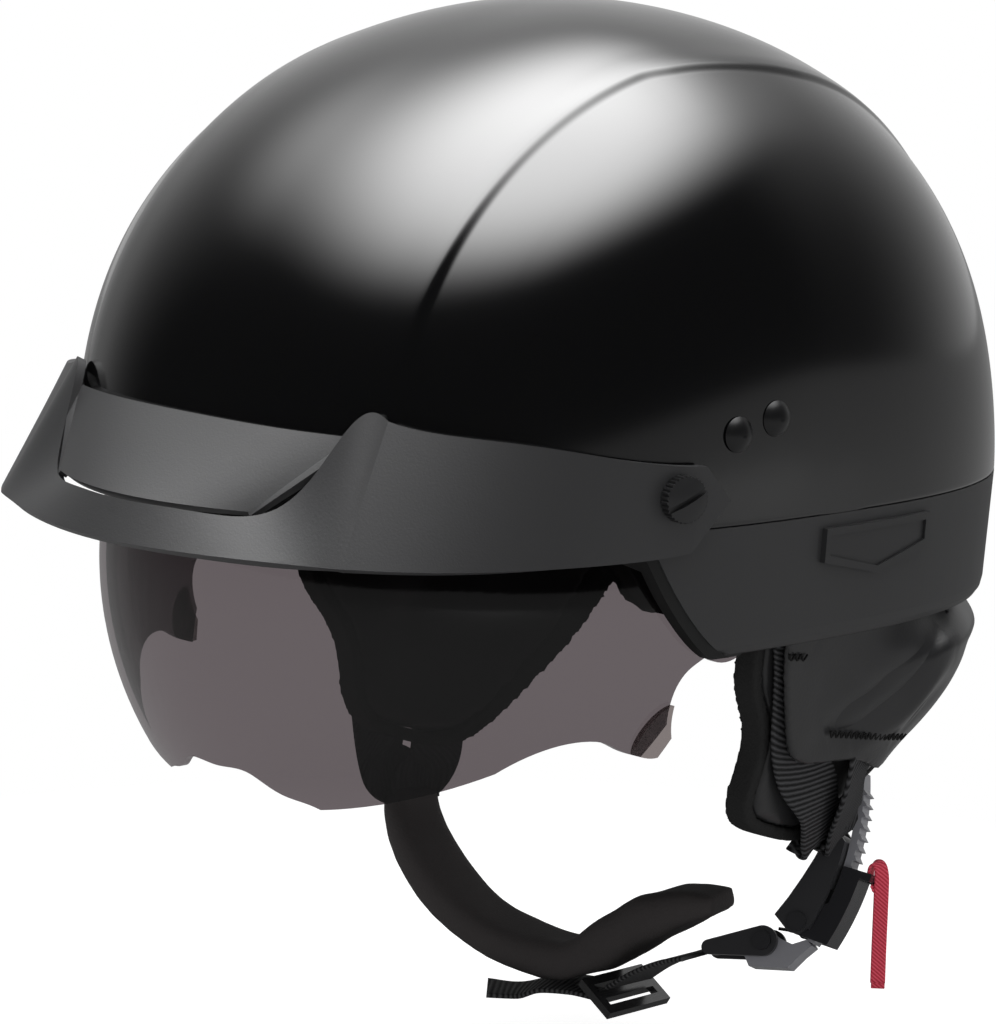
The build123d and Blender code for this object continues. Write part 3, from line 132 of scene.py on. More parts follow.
area("overhead", (-0.25, -0.05, 0.9), (0, 0, 0.1), 1.2, 5.0)
area("front_fill", (1.3, -0.9, 0.25), (0.05, -0.05, -0.1), 0.6, 2.6)
area("side_fill", (1.2, 0.7, -0.1), (0.08, 0.03, -0.1), 0.6, 2.2)


def background(world):
    """White where the camera looks past the object; for the gloss, a soft glow above and a pale wall behind."""
    world.use_nodes = True
    tree = world.node_tree
    tree.nodes.clear()
    new, link = tree.nodes.new, tree.links.new
    out, path, spot = (new("ShaderNode" + kind) for kind in ("OutputWorld", "LightPath", "TexCoord"))

    def glow(way, low, high, dark, bright):
        """Light that rises smoothly with the cosine between a ray and a direction."""
        dot = new("ShaderNodeVectorMath")
        dot.operation = "DOT_PRODUCT"
        dot.inputs[1].default_value = way
        rise = new("ShaderNodeMapRange")
        rise.interpolation_type = "SMOOTHSTEP"
        for socket, value in zip(rise.inputs[1:5], (low, high, dark, bright)):
            socket.default_value = value
        link(spot.outputs["Generated"], dot.inputs[0])
        link(dot.outputs["Value"], rise.inputs[0])
        return rise.outputs[0]

    def pair(operation, first, second):
        node = new("ShaderNodeMath")
        node.operation = operation
        for socket, value in zip(node.inputs, (first, second)):
            if isinstance(value, float):
                socket.default_value = value
            else:
                link(value, socket)
        return node.outputs[0]

    wall = glow((-0.62, 0.78, 0.05), 0.1, 0.97, 0.02, 0.6)
    above = pair("POWER", glow((-0.1, 0.02, 0.99), 0.6, 1.0, 0.0, 1.0), 1.6)
    above = pair("MULTIPLY", above, 9.5)
    mirrored = pair("MULTIPLY", pair("ADD", wall, above), path.outputs["Is Glossy Ray"])
    ambient = pair("MULTIPLY", path.outputs["Is Diffuse Ray"], 0.75)
    room, white, mix = (new("ShaderNode" + kind) for kind in ("Background", "Background", "MixShader"))
    white.inputs[0].default_value = (1, 1, 1, 1)
    link(pair("ADD", mirrored, ambient), room.inputs[1])
    link(pair("MAXIMUM", path.outputs["Is Camera Ray"], path.outputs["Is Transmission Ray"]), mix.inputs[0])
    link(room.outputs[0], mix.inputs[1])
    link(white.outputs[0], mix.inputs[2])
    link(mix.outputs[0], out.inputs[0])


def floor(height, size):
    """A pale floor that fades into the white beyond it and keeps a soft shadow under the object."""
    mesh = bpy.data.meshes.new("floor")
    mesh.from_pydata([(-size, -size, height), (size, -size, height), (size, size, height), (-size, size, height)],
                     [], [(0, 1, 2, 3)])
    plane = bpy.data.objects.new("floor", mesh)
    bpy.context.scene.collection.objects.link(plane)
    material = bpy.data.materials.new("pale_floor")
    material.use_nodes = True
    tree = material.node_tree
    tree.nodes.clear()
    new = tree.nodes.new
    link = tree.links.new
    out, matte, glow, sum_up = (new("ShaderNode" + kind) for kind in (
        "OutputMaterial", "BsdfDiffuse", "Emission", "AddShader"))
    white, mix, path, spot = (new("ShaderNode" + kind) for kind in (
        "Emission", "MixShader", "LightPath", "NewGeometry"))
    matte.inputs[0].default_value = (0.8, 0.8, 0.8, 1)
    glow.inputs[0].default_value = (1, 1, 1, 1)
    far = new("ShaderNodeVectorMath")
    far.operation = "LENGTH"
    fade = new("ShaderNodeMapRange")
    fade.inputs[1].default_value, fade.inputs[2].default_value = 0.16, 0.42
    seen = new("ShaderNodeMath")
    seen.operation = "MULTIPLY"
    lift = new("ShaderNodeMath")
    lift.operation = "MULTIPLY"
    lift.inputs[1].default_value = 0.72
    link(spot.outputs["Position"], far.inputs[0])
    link(far.outputs["Value"], fade.inputs[0])
    link(fade.outputs[0], seen.inputs[0])
    link(path.outputs["Is Camera Ray"], seen.inputs[1])
    link(path.outputs["Is Camera Ray"], lift.inputs[0])
    link(lift.outputs[0], glow.inputs[1])
    link(matte.outputs[0], sum_up.inputs[0])
    link(glow.outputs[0], sum_up.inputs[1])
    link(seen.outputs[0], mix.inputs[0])
    link(sum_up.outputs[0], mix.inputs[1])
    link(white.outputs[0], mix.inputs[2])
    dim, veil, black = (new("ShaderNode" + kind) for kind in ("Math", "MixShader", "Emission"))
    dim.operation = "MULTIPLY"
    dim.inputs[1].default_value = 0.55
    black.inputs[1].default_value = 0.0
    link(path.outputs["Is Glossy Ray"], dim.inputs[0])
    link(dim.outputs[0], veil.inputs[0])
    link(mix.outputs[0], veil.inputs[1])
    link(black.outputs[0], veil.inputs[2])
    link(veil.outputs[0], out.inputs[0])
    mesh.materials.append(material)


FLOOR_HEIGHT = cad_box[0][2] - 0.012
floor(FLOOR_HEIGHT, 6.0)
world = bpy.data.worlds.new("studio")
bpy.context.scene.world = world
background(world)
print("softboxes and backdrop set")

# %% [markdown]
# ## Materials
#
# One helper turns a colour written as sRGB hex into linear light, and one builds a principled
# material with an optional fine grain. Moulded plastic gets a grain of a few tenths of a
# millimetre, cloth a coarser one, and webbing a slanted rib that follows the strap, with a painted
# highlight on the crests of its ribs.


# %%
def linear(hex_colour):
    """The linear colour of an sRGB hex value."""
    parts = [int(hex_colour[i:i + 2], 16) / 255 for i in (1, 3, 5)]
    return tuple(c / 12.92 if c <= 0.04045 else ((c + 0.055) / 1.055) ** 2.4 for c in parts) + (1.0,)


def plain(name, colour, roughness, metallic=0.0, coat=0.0, specular=0.5):
    """A principled material with nothing but its values."""
    material = bpy.data.materials.new(name)
    material.use_nodes = True
    shader = material.node_tree.nodes["Principled BSDF"]
    shader.inputs["Base Color"].default_value = linear(colour)
    shader.inputs["Roughness"].default_value = roughness
    shader.inputs["Metallic"].default_value = metallic
    shader.inputs["Coat Weight"].default_value = coat
    shader.inputs["Coat Roughness"].default_value = roughness
    shader.inputs["Specular IOR Level"].default_value = specular
    return material


def add(material, kind, **values):
    """A node in a material's tree with its inputs or settings filled in."""
    node = material.node_tree.nodes.new(kind)
    for key, value in values.items():
        if key in node.inputs:
            node.inputs[key].default_value = value
        else:
            setattr(node, key, value)
    return node


def join(material, out_socket, in_socket):
    material.node_tree.links.new(out_socket, in_socket)


def bumped(material, height_socket, distance, strength=1.0):
    """Feeds a height into the material's bump."""
    bump = add(material, "ShaderNodeBump", Strength=strength, Distance=distance)
    join(material, height_socket, bump.inputs["Height"])
    join(material, bump.outputs[0], material.node_tree.nodes["Principled BSDF"].inputs["Normal"])


def grained(name, colour, roughness, grain, depth, specular=0.5, coat=0.0):
    """Moulded plastic, foam or felt: a noise grain of a size in metres."""
    material = plain(name, colour, roughness, specular=specular, coat=coat)
    spot = add(material, "ShaderNodeTexCoord")
    noise = add(material, "ShaderNodeTexNoise", Scale=1 / grain, Detail=2.0)
    join(material, spot.outputs["Object"], noise.inputs["Vector"])
    bumped(material, noise.outputs["Fac"], depth)
    return material


def woven(name, colour, light, rib, slant, depth=0.00035, roughness=0.75):
    """Webbing whose ribs slant across the strap, with a painted highlight on the rib crests and painted shade in
    the grooves; its map holds metres across and along.
    """
    material = plain(name, colour, roughness, specular=0.3)
    spot = add(material, "ShaderNodeTexCoord")
    place = add(material, "ShaderNodeMapping")
    place.inputs["Rotation"].default_value = (0, 0, math.radians(slant))
    wave = add(material, "ShaderNodeTexWave", bands_direction="Y", Scale=math.pi / (rib * 10),
               Distortion=0.6, Detail=1.0)
    wave.inputs["Detail Scale"].default_value = 3.0
    join(material, spot.outputs["UV"], place.inputs["Vector"])
    join(material, place.outputs[0], wave.inputs["Vector"])
    # painted highlight and shade: the wave that raises the ribs also mixes the lighter colour onto their crests
    # and the darker one into their grooves
    mix = add(material, "ShaderNodeMix", data_type="RGBA")
    mix.inputs["A"].default_value, mix.inputs["B"].default_value = linear(colour), linear(light)
    join(material, wave.outputs["Fac"], mix.inputs["Factor"])
    join(material, mix.outputs["Result"], material.node_tree.nodes["Principled BSDF"].inputs["Base Color"])
    bumped(material, wave.outputs["Fac"], depth)
    return material


def smoked(name, colour, density, roughness):
    """Tinted polycarbonate: straight-through light, darkened, under a clear reflection."""
    material = bpy.data.materials.new(name)
    material.use_nodes = True
    material.node_tree.nodes.clear()
    out = add(material, "ShaderNodeOutputMaterial")
    through = add(material, "ShaderNodeBsdfTransparent")
    through.inputs[0].default_value = linear(colour)
    gloss = add(material, "ShaderNodeBsdfGlossy")
    gloss.inputs["Roughness"].default_value = roughness
    facing = add(material, "ShaderNodeLayerWeight", Blend=0.5)
    power = add(material, "ShaderNodeMath", operation="POWER")
    power.inputs[1].default_value = 4.0
    rise = add(material, "ShaderNodeMath", operation="MULTIPLY_ADD")
    rise.inputs[1].default_value, rise.inputs[2].default_value = 0.9 * density, 0.05 * density
    side = add(material, "ShaderNodeNewGeometry")
    front = add(material, "ShaderNodeMath", operation="SUBTRACT")
    front.inputs[0].default_value = 1.0
    dim = add(material, "ShaderNodeMath", operation="MULTIPLY")
    mix = add(material, "ShaderNodeMixShader")
    join(material, facing.outputs["Facing"], power.inputs[0])
    join(material, power.outputs[0], rise.inputs[0])
    join(material, side.outputs["Backfacing"], front.inputs[1])
    join(material, rise.outputs[0], dim.inputs[0])
    join(material, front.outputs[0], dim.inputs[1])
    join(material, dim.outputs[0], mix.inputs[0])
    join(material, through.outputs[0], mix.inputs[1])
    join(material, gloss.outputs[0], mix.inputs[2])
    join(material, mix.outputs[0], out.inputs[0])
    return material


LOOKS = {
    "shell": plain("gloss_lacquer", "#0A0A0B", 0.14, coat=1.0),
    "skirt": grained("skirt_plastic", "#303031", 0.5, 0.0005, 0.00003),
    "peak": grained("peak_plastic", "#323233", 0.45, 0.0006, 0.00003),
    "trim": plain("trim_rubber", "#151515", 0.6),
    "badge": grained("badge_plastic", "#2A2A2B", 0.4, 0.0005, 0.00003),
    "rivet": plain("rivet_black", "#1B1B1C", 0.3, metallic=0.2),
    "steel": plain("plain_steel", "#A8A8AA", 0.35, metallic=1.0),
    "brass": plain("brass_insert", "#B8934A", 0.35, metallic=1.0),
    "screw": plain("screw_plastic", "#232324", 0.38),
    "foam": grained("bead_foam", "#2A2A2A", 0.85, 0.0035, 0.0002),
    "pad": grained("knitted_pad", "#1E1E20", 0.95, 0.0008, 0.00015, specular=0.15),
    "lens": smoked("smoked_lens", "#A19B9D", 0.9, 0.06),
    "grip": smoked("smoked_grip", "#B5AFAE", 0.9, 0.1),
    "pivot": plain("pivot_plastic", "#242424", 0.5),
    "leather": grained("leatherette", "#29292A", 0.33, 0.0009, 0.00004),
    "binding": grained("woven_binding", "#242424", 0.85, 0.0008, 0.0003, specular=0.2),
    # painted highlight: the second, lighter colour of each webbing sits on the crests of its ribs
    "web_up": woven("webbing_ribs_up", "#141415", "#434345", 0.0016, 38),
    "web_down": woven("webbing_ribs_down", "#141415", "#434345", 0.0016, -38),
    "web_cross": woven("webbing_ribs_across", "#161617", "#4A4A4B", 0.0018, 4),
    "felt": grained("brushed_cloth", "#3A3737", 0.9, 0.0007, 0.00025, specular=0.25),
    "plate": plain("buckle_plate", "#303032", 0.32, coat=0.3),
    "pin": plain("buckle_pin", "#2A2A2C", 0.3),
    "lever": plain("lever_finish", "#2C2C2F", 0.25, metallic=0.3),
    "spring": plain("spring_wire", "#B4B4B6", 0.25, metallic=1.0),
    "tongue": plain("tongue_plastic", "#808085", 0.28, coat=0.4),
    "slider": plain("slider_plastic", "#1C1C1D", 0.25, coat=0.3),
    # painted highlight: the pink second colour of the ribbon sits on the crests of its ribs
    "ribbon": woven("red_ribbon", "#B02636", "#DE5468", 0.0009, 40, depth=0.0001, roughness=0.7),
    "stitch": plain("stitch_thread", "#0E0E0E", 0.7),
}
FINISHES = {
    "outer_shell": "shell", "lower_skirt": "skirt", "skirt_trim": "trim", "badge_plate_left": "badge",
    "badge_plate_right": "badge", "strap_rivets": "rivet", "strap_anchors": "steel", "peak": "peak",
    "peak_washers": "trim", "peak_inserts": "brass", "thumbscrew_left": "screw",
    "thumbscrew_right": "screw", "impact_liner": "foam", "crown_pad": "pad", "brow_pad": "pad",
    "side_pad_left": "pad", "side_pad_right": "pad", "nape_pad": "pad", "sun_lens": "lens",
    "lens_grips": "grip", "pivot_plate_left": "pivot", "pivot_plate_right": "pivot",
    "pivot_screws": "steel", "curtain_body": "leather", "curtain_cover": "leather",
    "curtain_binding": "binding", "curtain_snaps": "steel", "front_leg_left": "web_up",
    "rear_leg_left": "web_down", "front_leg_right": "web_up", "rear_leg_right": "web_down",
    "chin_pad": "felt", "chin_webbing": "web_cross", "webbing_tail": "web_cross",
    "webbing_slider": "slider", "buckle_frame": "plate", "lever_pin": "pin", "release_lever": "lever",
    "lever_spring": "spring", "toothed_tongue": "tongue", "bracket_pin": "pin",
    "chin_bracket": "plate", "pull_ribbon": "ribbon",
}
for name, finish in FINISHES.items():
    solid = nodes[name]
    solid.data.materials.clear()
    solid.data.materials.append(LOOKS[finish])
print(len(LOOKS), "materials on", len(FINISHES), "nodes")

# %% [markdown]
# ## Edges
#
# No moulding or stamping has a perfectly sharp edge, and an edge only reads in a picture when it
# catches a thread of light. Each hard piece gets a small bevel of its own size: the peak's lip is
# blunt, the buckle's stampings are finer.

# %%
BEVELS = {
    "peak": 0.45, "lower_skirt": 0.4, "badge_plate_left": 0.25, "badge_plate_right": 0.25,
    "thumbscrew_left": 0.12, "thumbscrew_right": 0.12, "webbing_slider": 0.3, "buckle_frame": 0.15,
    "release_lever": 0.12, "toothed_tongue": 0.15, "chin_bracket": 0.12, "lens_grips": 0.2,
    "pivot_plate_left": 0.25, "pivot_plate_right": 0.25,
}
for name, width in BEVELS.items():
    edge = nodes[name].modifiers.new("edge", "BEVEL")
    edge.width, edge.segments = width * MM, 2
    edge.limit_method, edge.angle_limit = "ANGLE", math.radians(32)
    edge.harden_normals = True
print(len(BEVELS), "pieces bevelled")

# %% [markdown]
# ## The shell
#
# The shell is one lacquered moulding: a dome whose plan is a rounded oval, fuller at the front,
# with a centre band that stands proud of the flanks and rolls over into a crisp edge. Facets
# would show at once in gloss, so the visible shell is worked out as a fine grid from the same
# outline formulas as the solid one, with its columns packed where the edge of the band runs.


# %%
SHELL_HALF, SHELL_FRONT, SHELL_BACK, SHELL_TOP = 114.0, 140.0, 129.9, 134.4
SHELL_WALL = 3.5
PLAN_POWER = 2.65
EDGE_Y = (-34.0, -25.0, -7.0, 11.0, 25.0)
EDGE_X = (64.5, 65.9, 67.2, 68.4, 69.6)


def inside_dome(x, y, z):
    """Under 1 inside: (|x| / W(h))^p + (|y| / R(h))^p, with the half width and reach falling with height."""
    h = np.clip(z / SHELL_TOP, 0, 0.999999)
    half = SHELL_HALF * (1 - h ** 3.418) ** (1 / 1.974)
    reach = np.where(y < 0, SHELL_FRONT * (1 - h ** 2.3) ** 0.64,
                     SHELL_BACK * (1 - h ** 1.663) ** (1 / 2.055))
    value = (np.abs(x) / half) ** PLAN_POWER + (np.abs(y) / reach) ** PLAN_POWER
    return np.where(z < SHELL_TOP, value, 9.0)


def smooth_rows(values, sigma):
    """A Gaussian mean down each column, the ends mirrored."""
    reach = int(3 * sigma)
    kernel = np.exp(-0.5 * (np.arange(-reach, reach + 1) / sigma) ** 2)
    kernel /= kernel.sum()
    padded = np.pad(values, ((reach, reach), (0, 0)), mode="reflect", reflect_type="odd")
    return sum(padded[i:i + len(values)] * weight for i, weight in enumerate(kernel))


def dome_grid(angles, columns):
    """Points p = (x, -r cos a, r sin a), with r found by halving where the dome's value is 1."""
    a = angles[:, None] + 0 * columns[None, :]
    x = columns[None, :] + 0 * a
    low, high = np.zeros_like(a), np.full_like(a, 200.0)
    for _ in range(48):
        middle = (low + high) / 2
        inner = inside_dome(x, -middle * np.cos(a), middle * np.sin(a)) < 1
        low, high = np.where(inner, middle, low), np.where(inner, high, middle)
    r = smooth_rows(low, 4.0)
    return np.stack([x, -r * np.cos(a), r * np.sin(a)], axis=-1)


def dome_normals(points):
    """Outward unit normals: the gradient of the dome's value, by small steps along each axis."""
    x, y, z = points[..., 0], points[..., 1], np.clip(points[..., 2], 0.3, SHELL_TOP - 0.3)
    step = 0.2
    slope = [inside_dome(x + step * a, y + step * b, z + step * c)
             - inside_dome(x - step * a, y - step * b, z - step * c)
             for a, b, c in ((1, 0, 0), (0, 1, 0), (0, 0, 1))]
    normal = np.stack(slope, axis=-1)
    return normal / np.maximum(np.linalg.norm(normal, axis=-1, keepdims=True), 1e-9)


def ramp(value, low, high):
    """A smooth step from 0 at low to 1 at high: 3t^2 - 2t^3."""
    t = np.clip((value - low) / (high - low), 0, 1)
    return t * t * (3 - 2 * t)


def band_height(x, y):
    """How far the band stands out: flat, a faint roll, a steep edge, then a hollow on the flank."""
    s = np.abs(x) - np.interp(y, EDGE_Y, EDGE_X)
    band = 1.5 + 0.25 * np.exp(-((s + 5.5) / 4.5) ** 2)
    flank = 0.6 * np.clip(1 - s / 18.0, 0, 1) ** 2
    return np.where(s > 0, flank, 0.6 + (band - 0.6) * ramp(-s, 0, 3.4))


def link_mesh(name, verts, faces, material, smooth=True, uv=None):
    """A mesh object in metres from millimetre points and index faces."""
    mesh = bpy.data.meshes.new(name)
    mesh.from_pydata((np.asarray(verts) * MM).tolist(), [], [list(map(int, f)) for f in faces])
    if uv is not None:
        layer = mesh.uv_layers.new(name="map")
        index = np.empty(len(mesh.loops), dtype=np.int32)
        mesh.loops.foreach_get("vertex_index", index)
        layer.data.foreach_set("uv", (np.asarray(uv) * MM)[index].ravel())
    mesh.polygons.foreach_set("use_smooth", [smooth] * len(mesh.polygons))
    piece = bpy.data.objects.new(name, mesh)
    bpy.context.scene.collection.objects.link(piece)
    mesh.materials.append(material)
    return piece


def tidy_mesh(piece, distance=0.00002):
    """Merges what coincides and turns every face outward."""
    work = bmesh.new()
    work.from_mesh(piece.data)
    bmesh.ops.remove_doubles(work, verts=work.verts, dist=distance)
    bmesh.ops.dissolve_degenerate(work, dist=distance / 2, edges=work.edges)
    bmesh.ops.recalc_face_normals(work, faces=work.faces)
    work.to_mesh(piece.data)
    work.free()
    return piece


def grid_faces(rows, columns, start=0, flip=False):
    """Quads of a grid numbered row by row."""
    base = (np.arange(rows - 1)[:, None] * columns + np.arange(columns - 1)[None, :]).ravel() + start
    quads = np.stack([base, base + 1, base + columns + 1, base + columns], axis=1)
    return quads[:, ::-1] if flip else quads


def shell_columns():
    """X of each column: even over the band, packed at its edge, then closing on the widest point."""
    band = np.linspace(0, 60, 22)
    edge = np.concatenate([np.linspace(61.2, 70.8, 25), np.linspace(71.8, 79, 9)])
    turn = np.linspace(0, 1, 34)[1:]
    side = 79 + (SHELL_HALF - 79) * np.sin(turn * math.pi / 2)
    right_side = np.concatenate([band, edge, side])
    return np.concatenate([-right_side[:0:-1], right_side])


def shell():
    """The outer skin with the band on it, the inner skin a wall's thickness in, and the rim between."""
    low = np.radians([0, 0.12, 0.25, 0.4, 0.6])
    angles = np.concatenate([low, np.linspace(math.radians(1), math.radians(179), 200), math.pi - low[::-1]])
    columns = shell_columns()
    skin = dome_grid(angles, columns)
    normal = dome_normals(skin)
    rise = band_height(skin[..., 0], skin[..., 1])
    seam = 0.35 * np.clip(1 - skin[..., 2] / 0.9, 0, 1) ** 2 * (np.abs(skin[..., 0]) < SHELL_HALF - 0.01)
    outer = skin + normal * (rise - seam)[..., None]
    outer[..., 2] = np.maximum(outer[..., 2], 0)
    outer[[0, -1], :, 2] = 0
    inner = skin - normal * SHELL_WALL
    inner[..., 2] = np.maximum(inner[..., 2], 0)
    inner[[0, -1], :, 2] = 0
    count, width = skin.shape[:2]
    total = count * width
    faces = [grid_faces(count, width), grid_faces(count, width, total, True)]
    for row in (0, count - 1):
        first = row * width + np.arange(width - 1)
        faces.append(np.stack([first, first + 1, first + 1 + total, first + total], axis=1))
    verts = np.concatenate([outer.reshape(-1, 3), inner.reshape(-1, 3)])
    piece = tidy_mesh(link_mesh("gloss_shell", verts, np.concatenate(faces), LOOKS["shell"]))
    piece.data.set_sharp_from_angle(angle=math.radians(50))
    return piece


gloss_shell = shell()
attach(gloss_shell, "helmet")
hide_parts("outer_shell")
print("shell faces", len(gloss_shell.data.polygons))

# %% [markdown]
# ## Webbing
#
# The four strap legs, the chin webbing and its tail are 20 mm herringbone webbing, woven flat and
# about 1.5 mm thick. A strap is stiff across and soft along, so each one is a band that follows a
# line of places with an outward facing at each, with rounded edges and a map in real metres, so
# that the ribs of the weave keep their size and slant along the whole strap.


# %%
WEBBING_WIDTH, WEBBING_THICKNESS = 20.0, 1.5
STRAPS = {
    "front_leg_left": (
        (106.9, -37.7, 33, 0.99, -0.11, 0.06),
        (107.6, -34.8, 19.3, 0.99, -0.09, -0.08),
        (106.1, -27.6, 6.8, 0.99, -0.06, -0.12),
        (105.6, -19.9, -5.1, 0.99, -0.03, -0.11),
        (103.9, -12.1, -16.8, 0.99, -0.01, -0.16),
        (102, -4.9, -28.8, 0.98, -0, -0.18),
        (99.4, 0.6, -41.6, 0.98, 0, -0.21),
        (96.4, 4.5, -55, 0.97, 0, -0.23),
        (93.1, 8.4, -68.2, 0.97, 0.01, -0.25),
        (89.7, 15.5, -80, 0.96, 0.03, -0.27),
        (88.4, 24.8, -90.4, 0.95, 0.22, -0.22),
        (83.3, 32.7, -100.9, 0.92, 0.26, -0.3),
        (80.4, 37.5, -105.2, 0.9, 0.24, -0.36),
    ),
    "rear_leg_left": (
        (45.6, 113.6, 33.3, 0.26, 0.92, 0.3),
        (50, 115.9, 17.6, 0.32, 0.95, 0.05),
        (57, 112.7, 3.7, 0.43, 0.9, -0.02),
        (66.3, 106.7, -7.7, 0.55, 0.83, -0.13),
        (75.1, 97.8, -17.3, 0.68, 0.71, -0.15),
        (81.8, 87.9, -27.7, 0.79, 0.59, -0.18),
        (85.8, 77.2, -39, 0.85, 0.47, -0.22),
        (88.3, 66, -50.2, 0.9, 0.36, -0.23),
        (89.7, 53.7, -60.6, 0.93, 0.26, -0.25),
        (88.8, 43.6, -72.7, 0.95, 0.19, -0.26),
        (88.4, 40.6, -87.3, 0.88, 0.41, -0.24),
        (82.9, 44.5, -101.1, 0.87, 0.33, -0.37),
        (78.7, 48.2, -106.9, 0.82, 0.41, -0.4),
    ),
    "front_leg_right": (
        (-106.9, -37.7, 33, -0.99, -0.11, 0.06),
        (-107.5, -34.7, 19.1, -0.99, -0.09, -0.08),
        (-106.1, -27.3, 6.4, -0.99, -0.06, -0.12),
        (-105.6, -19.5, -5.7, -0.99, -0.03, -0.12),
        (-103.8, -11.6, -17.6, -0.99, -0.01, -0.16),
        (-101.8, -4.3, -29.8, -0.98, -0, -0.18),
        (-99.1, 0.9, -43, -0.98, 0, -0.21),
        (-96, 4.8, -56.5, -0.97, 0, -0.23),
        (-92.7, 10, -69.6, -0.97, 0.02, -0.25),
        (-88.9, 14.1, -83, -0.96, 0.03, -0.28),
        (-88.5, 16.8, -97, -0.98, 0.17, 0.07),
        (-90.6, 20.3, -110.7, -0.98, -0.06, 0.17),
        (-91.8, 23.5, -117, -0.98, -0.2, 0.04),
    ),
    "rear_leg_right": (
        (-45.6, 113.6, 33.3, -0.26, 0.92, 0.3),
        (-50.2, 115.8, 17, -0.33, 0.94, 0.04),
        (-57.7, 112.4, 2.6, -0.43, 0.9, -0.02),
        (-67.4, 105.7, -8.9, -0.56, 0.81, -0.14),
        (-76.4, 96.2, -19, -0.7, 0.69, -0.15),
        (-82.8, 85.6, -30, -0.8, 0.56, -0.19),
        (-86.5, 74.4, -41.9, -0.87, 0.44, -0.22),
        (-88.8, 62.4, -53.3, -0.91, 0.33, -0.24),
        (-89.7, 49.8, -64.2, -0.94, 0.23, -0.25),
        (-87.6, 41.4, -78.3, -0.95, 0.17, -0.27),
        (-83.8, 39.3, -92.6, -0.85, 0.17, -0.5),
        (-82.7, 37.6, -108.8, -0.96, 0.19, 0.19),
        (-84.5, 37, -117, -0.97, 0.17, 0.19),
    ),
    "chin_pad": (
        (-90, 33.4, -124, 0.98, -0.03, 0.18),
        (-78, 29.9, -142.2, 0.63, 0.03, 0.77),
        (-65.7, 28.3, -150.8, 0.53, 0.01, 0.85),
        (-45.1, 27.3, -159.7, 0.23, -0, 0.97),
        (-30.3, 27.6, -162, 0.1, 0, 1),
        (-7.9, 28.2, -161.3, -0.26, 0.01, 0.97),
        (11, 30.6, -149.6, -0.63, -0.02, 0.78),
        (23.4, 32.2, -141.1, -0.48, -0.03, 0.88),
        (44, 36.5, -133.5, -0.15, -0.02, 0.99),
    ),
    "chin_webbing": (
        (41.7, 31.3, -149.3, -0.3, -0.02, 0.95),
        (32.9, 31.8, -152.5, -0.39, -0, 0.92),
        (24.4, 31.9, -156.6, -0.48, -0, 0.88),
        (17.7, 32, -160.6, -0.54, 0, 0.84),
        (10, 32.5, -166, -0.6, 0.02, 0.8),
    ),
    "tail": (
        (3.5, 31, -170.5, 0.04, 0.04, 1),
        (-6.4, 27.5, -169.8, 0.05, 0.02, 1),
        (-15.6, 22.9, -170.9, -0.27, -0.1, 0.96),
        (-22.5, 18.2, -173.5, -0.21, -0.09, 0.97),
        (-30, 11.1, -173.2, 0.2, 0.23, 0.95),
    ),
}


def spline(points, count):
    """Catmull-Rom places along rows of numbers, evenly spread over the row index."""
    points = np.asarray(points, dtype=float)
    ends = np.vstack([2 * points[0] - points[1], points, 2 * points[-1] - points[-2]])
    t = np.linspace(0, len(points) - 1, count)
    i = np.minimum(t.astype(int), len(points) - 2)
    f = (t - i)[:, None]
    a, b, c, d = ends[i], ends[i + 1], ends[i + 2], ends[i + 3]
    return 0.5 * (2 * b + (c - a) * f + (2 * a - 5 * b + 4 * c - d) * f ** 2 + (3 * b - a - 3 * c + d) * f ** 3)


def unit_rows(vectors):
    return vectors / np.maximum(np.linalg.norm(vectors, axis=-1, keepdims=True), 1e-9)


def frames(points, facings):
    """Directions along, across and outward at each place of a line."""
    along = unit_rows(np.gradient(points, axis=0))
    across = unit_rows(np.cross(along, facings))
    return along, across, np.cross(across, along)


def band_section(width, thickness):
    """A flat strap's section: rounded long edges, a little fuller at the selvedge."""
    edge = np.linspace(-math.pi / 2, math.pi / 2, 5)
    half, bulge = width / 2, thickness / 2
    side = np.stack([half - bulge + bulge * np.cos(edge), bulge * np.sin(edge)], axis=1)
    flat = np.stack([np.linspace(half - 2 * bulge, -half + 2 * bulge, 7), np.full(7, bulge * 0.9)], axis=1)
    top = np.concatenate([side, flat])
    return np.concatenate([top, -top])


def band(name, rows, material, width=WEBBING_WIDTH, thickness=WEBBING_THICKNESS, count=90):
    """A closed strap along rows of (x, y, z, facing x, y, z) in millimetres."""
    line = spline(rows, count)
    points, facings = swell_back(line[:, :3], 0.72), unit_rows(line[:, 3:])
    along, across, out = frames(points, facings)
    section = band_section(width, thickness)
    ring = (points[:, None] + across[:, None] * section[None, :, :1] + out[:, None] * section[None, :, 1:])
    size = len(section)
    verts = ring.reshape(-1, 3)
    reach = np.concatenate([[0], np.cumsum(np.linalg.norm(np.diff(points, axis=0), axis=1))])
    uv = np.stack([np.tile(section[:, 0], count), np.repeat(reach, size)], axis=1)
    low = (np.arange(count - 1)[:, None] * size + np.arange(size)[None, :]).ravel()
    high = (np.arange(count - 1)[:, None] * size + (np.arange(size)[None, :] + 1) % size).ravel()
    faces = np.stack([low, high, high + size, low + size], axis=1).tolist()
    faces.append(list(range(size)))
    faces.append(list(range((count - 1) * size, count * size))[::-1])
    return tidy_mesh(link_mesh(name, verts, faces, material, uv=uv))


CURTAIN_HALF, CURTAIN_BACK, CURTAIN_TOP, CURTAIN_DEPTH = 100.0, 117.0, 28.0, 103.0
SWELL = 12.5


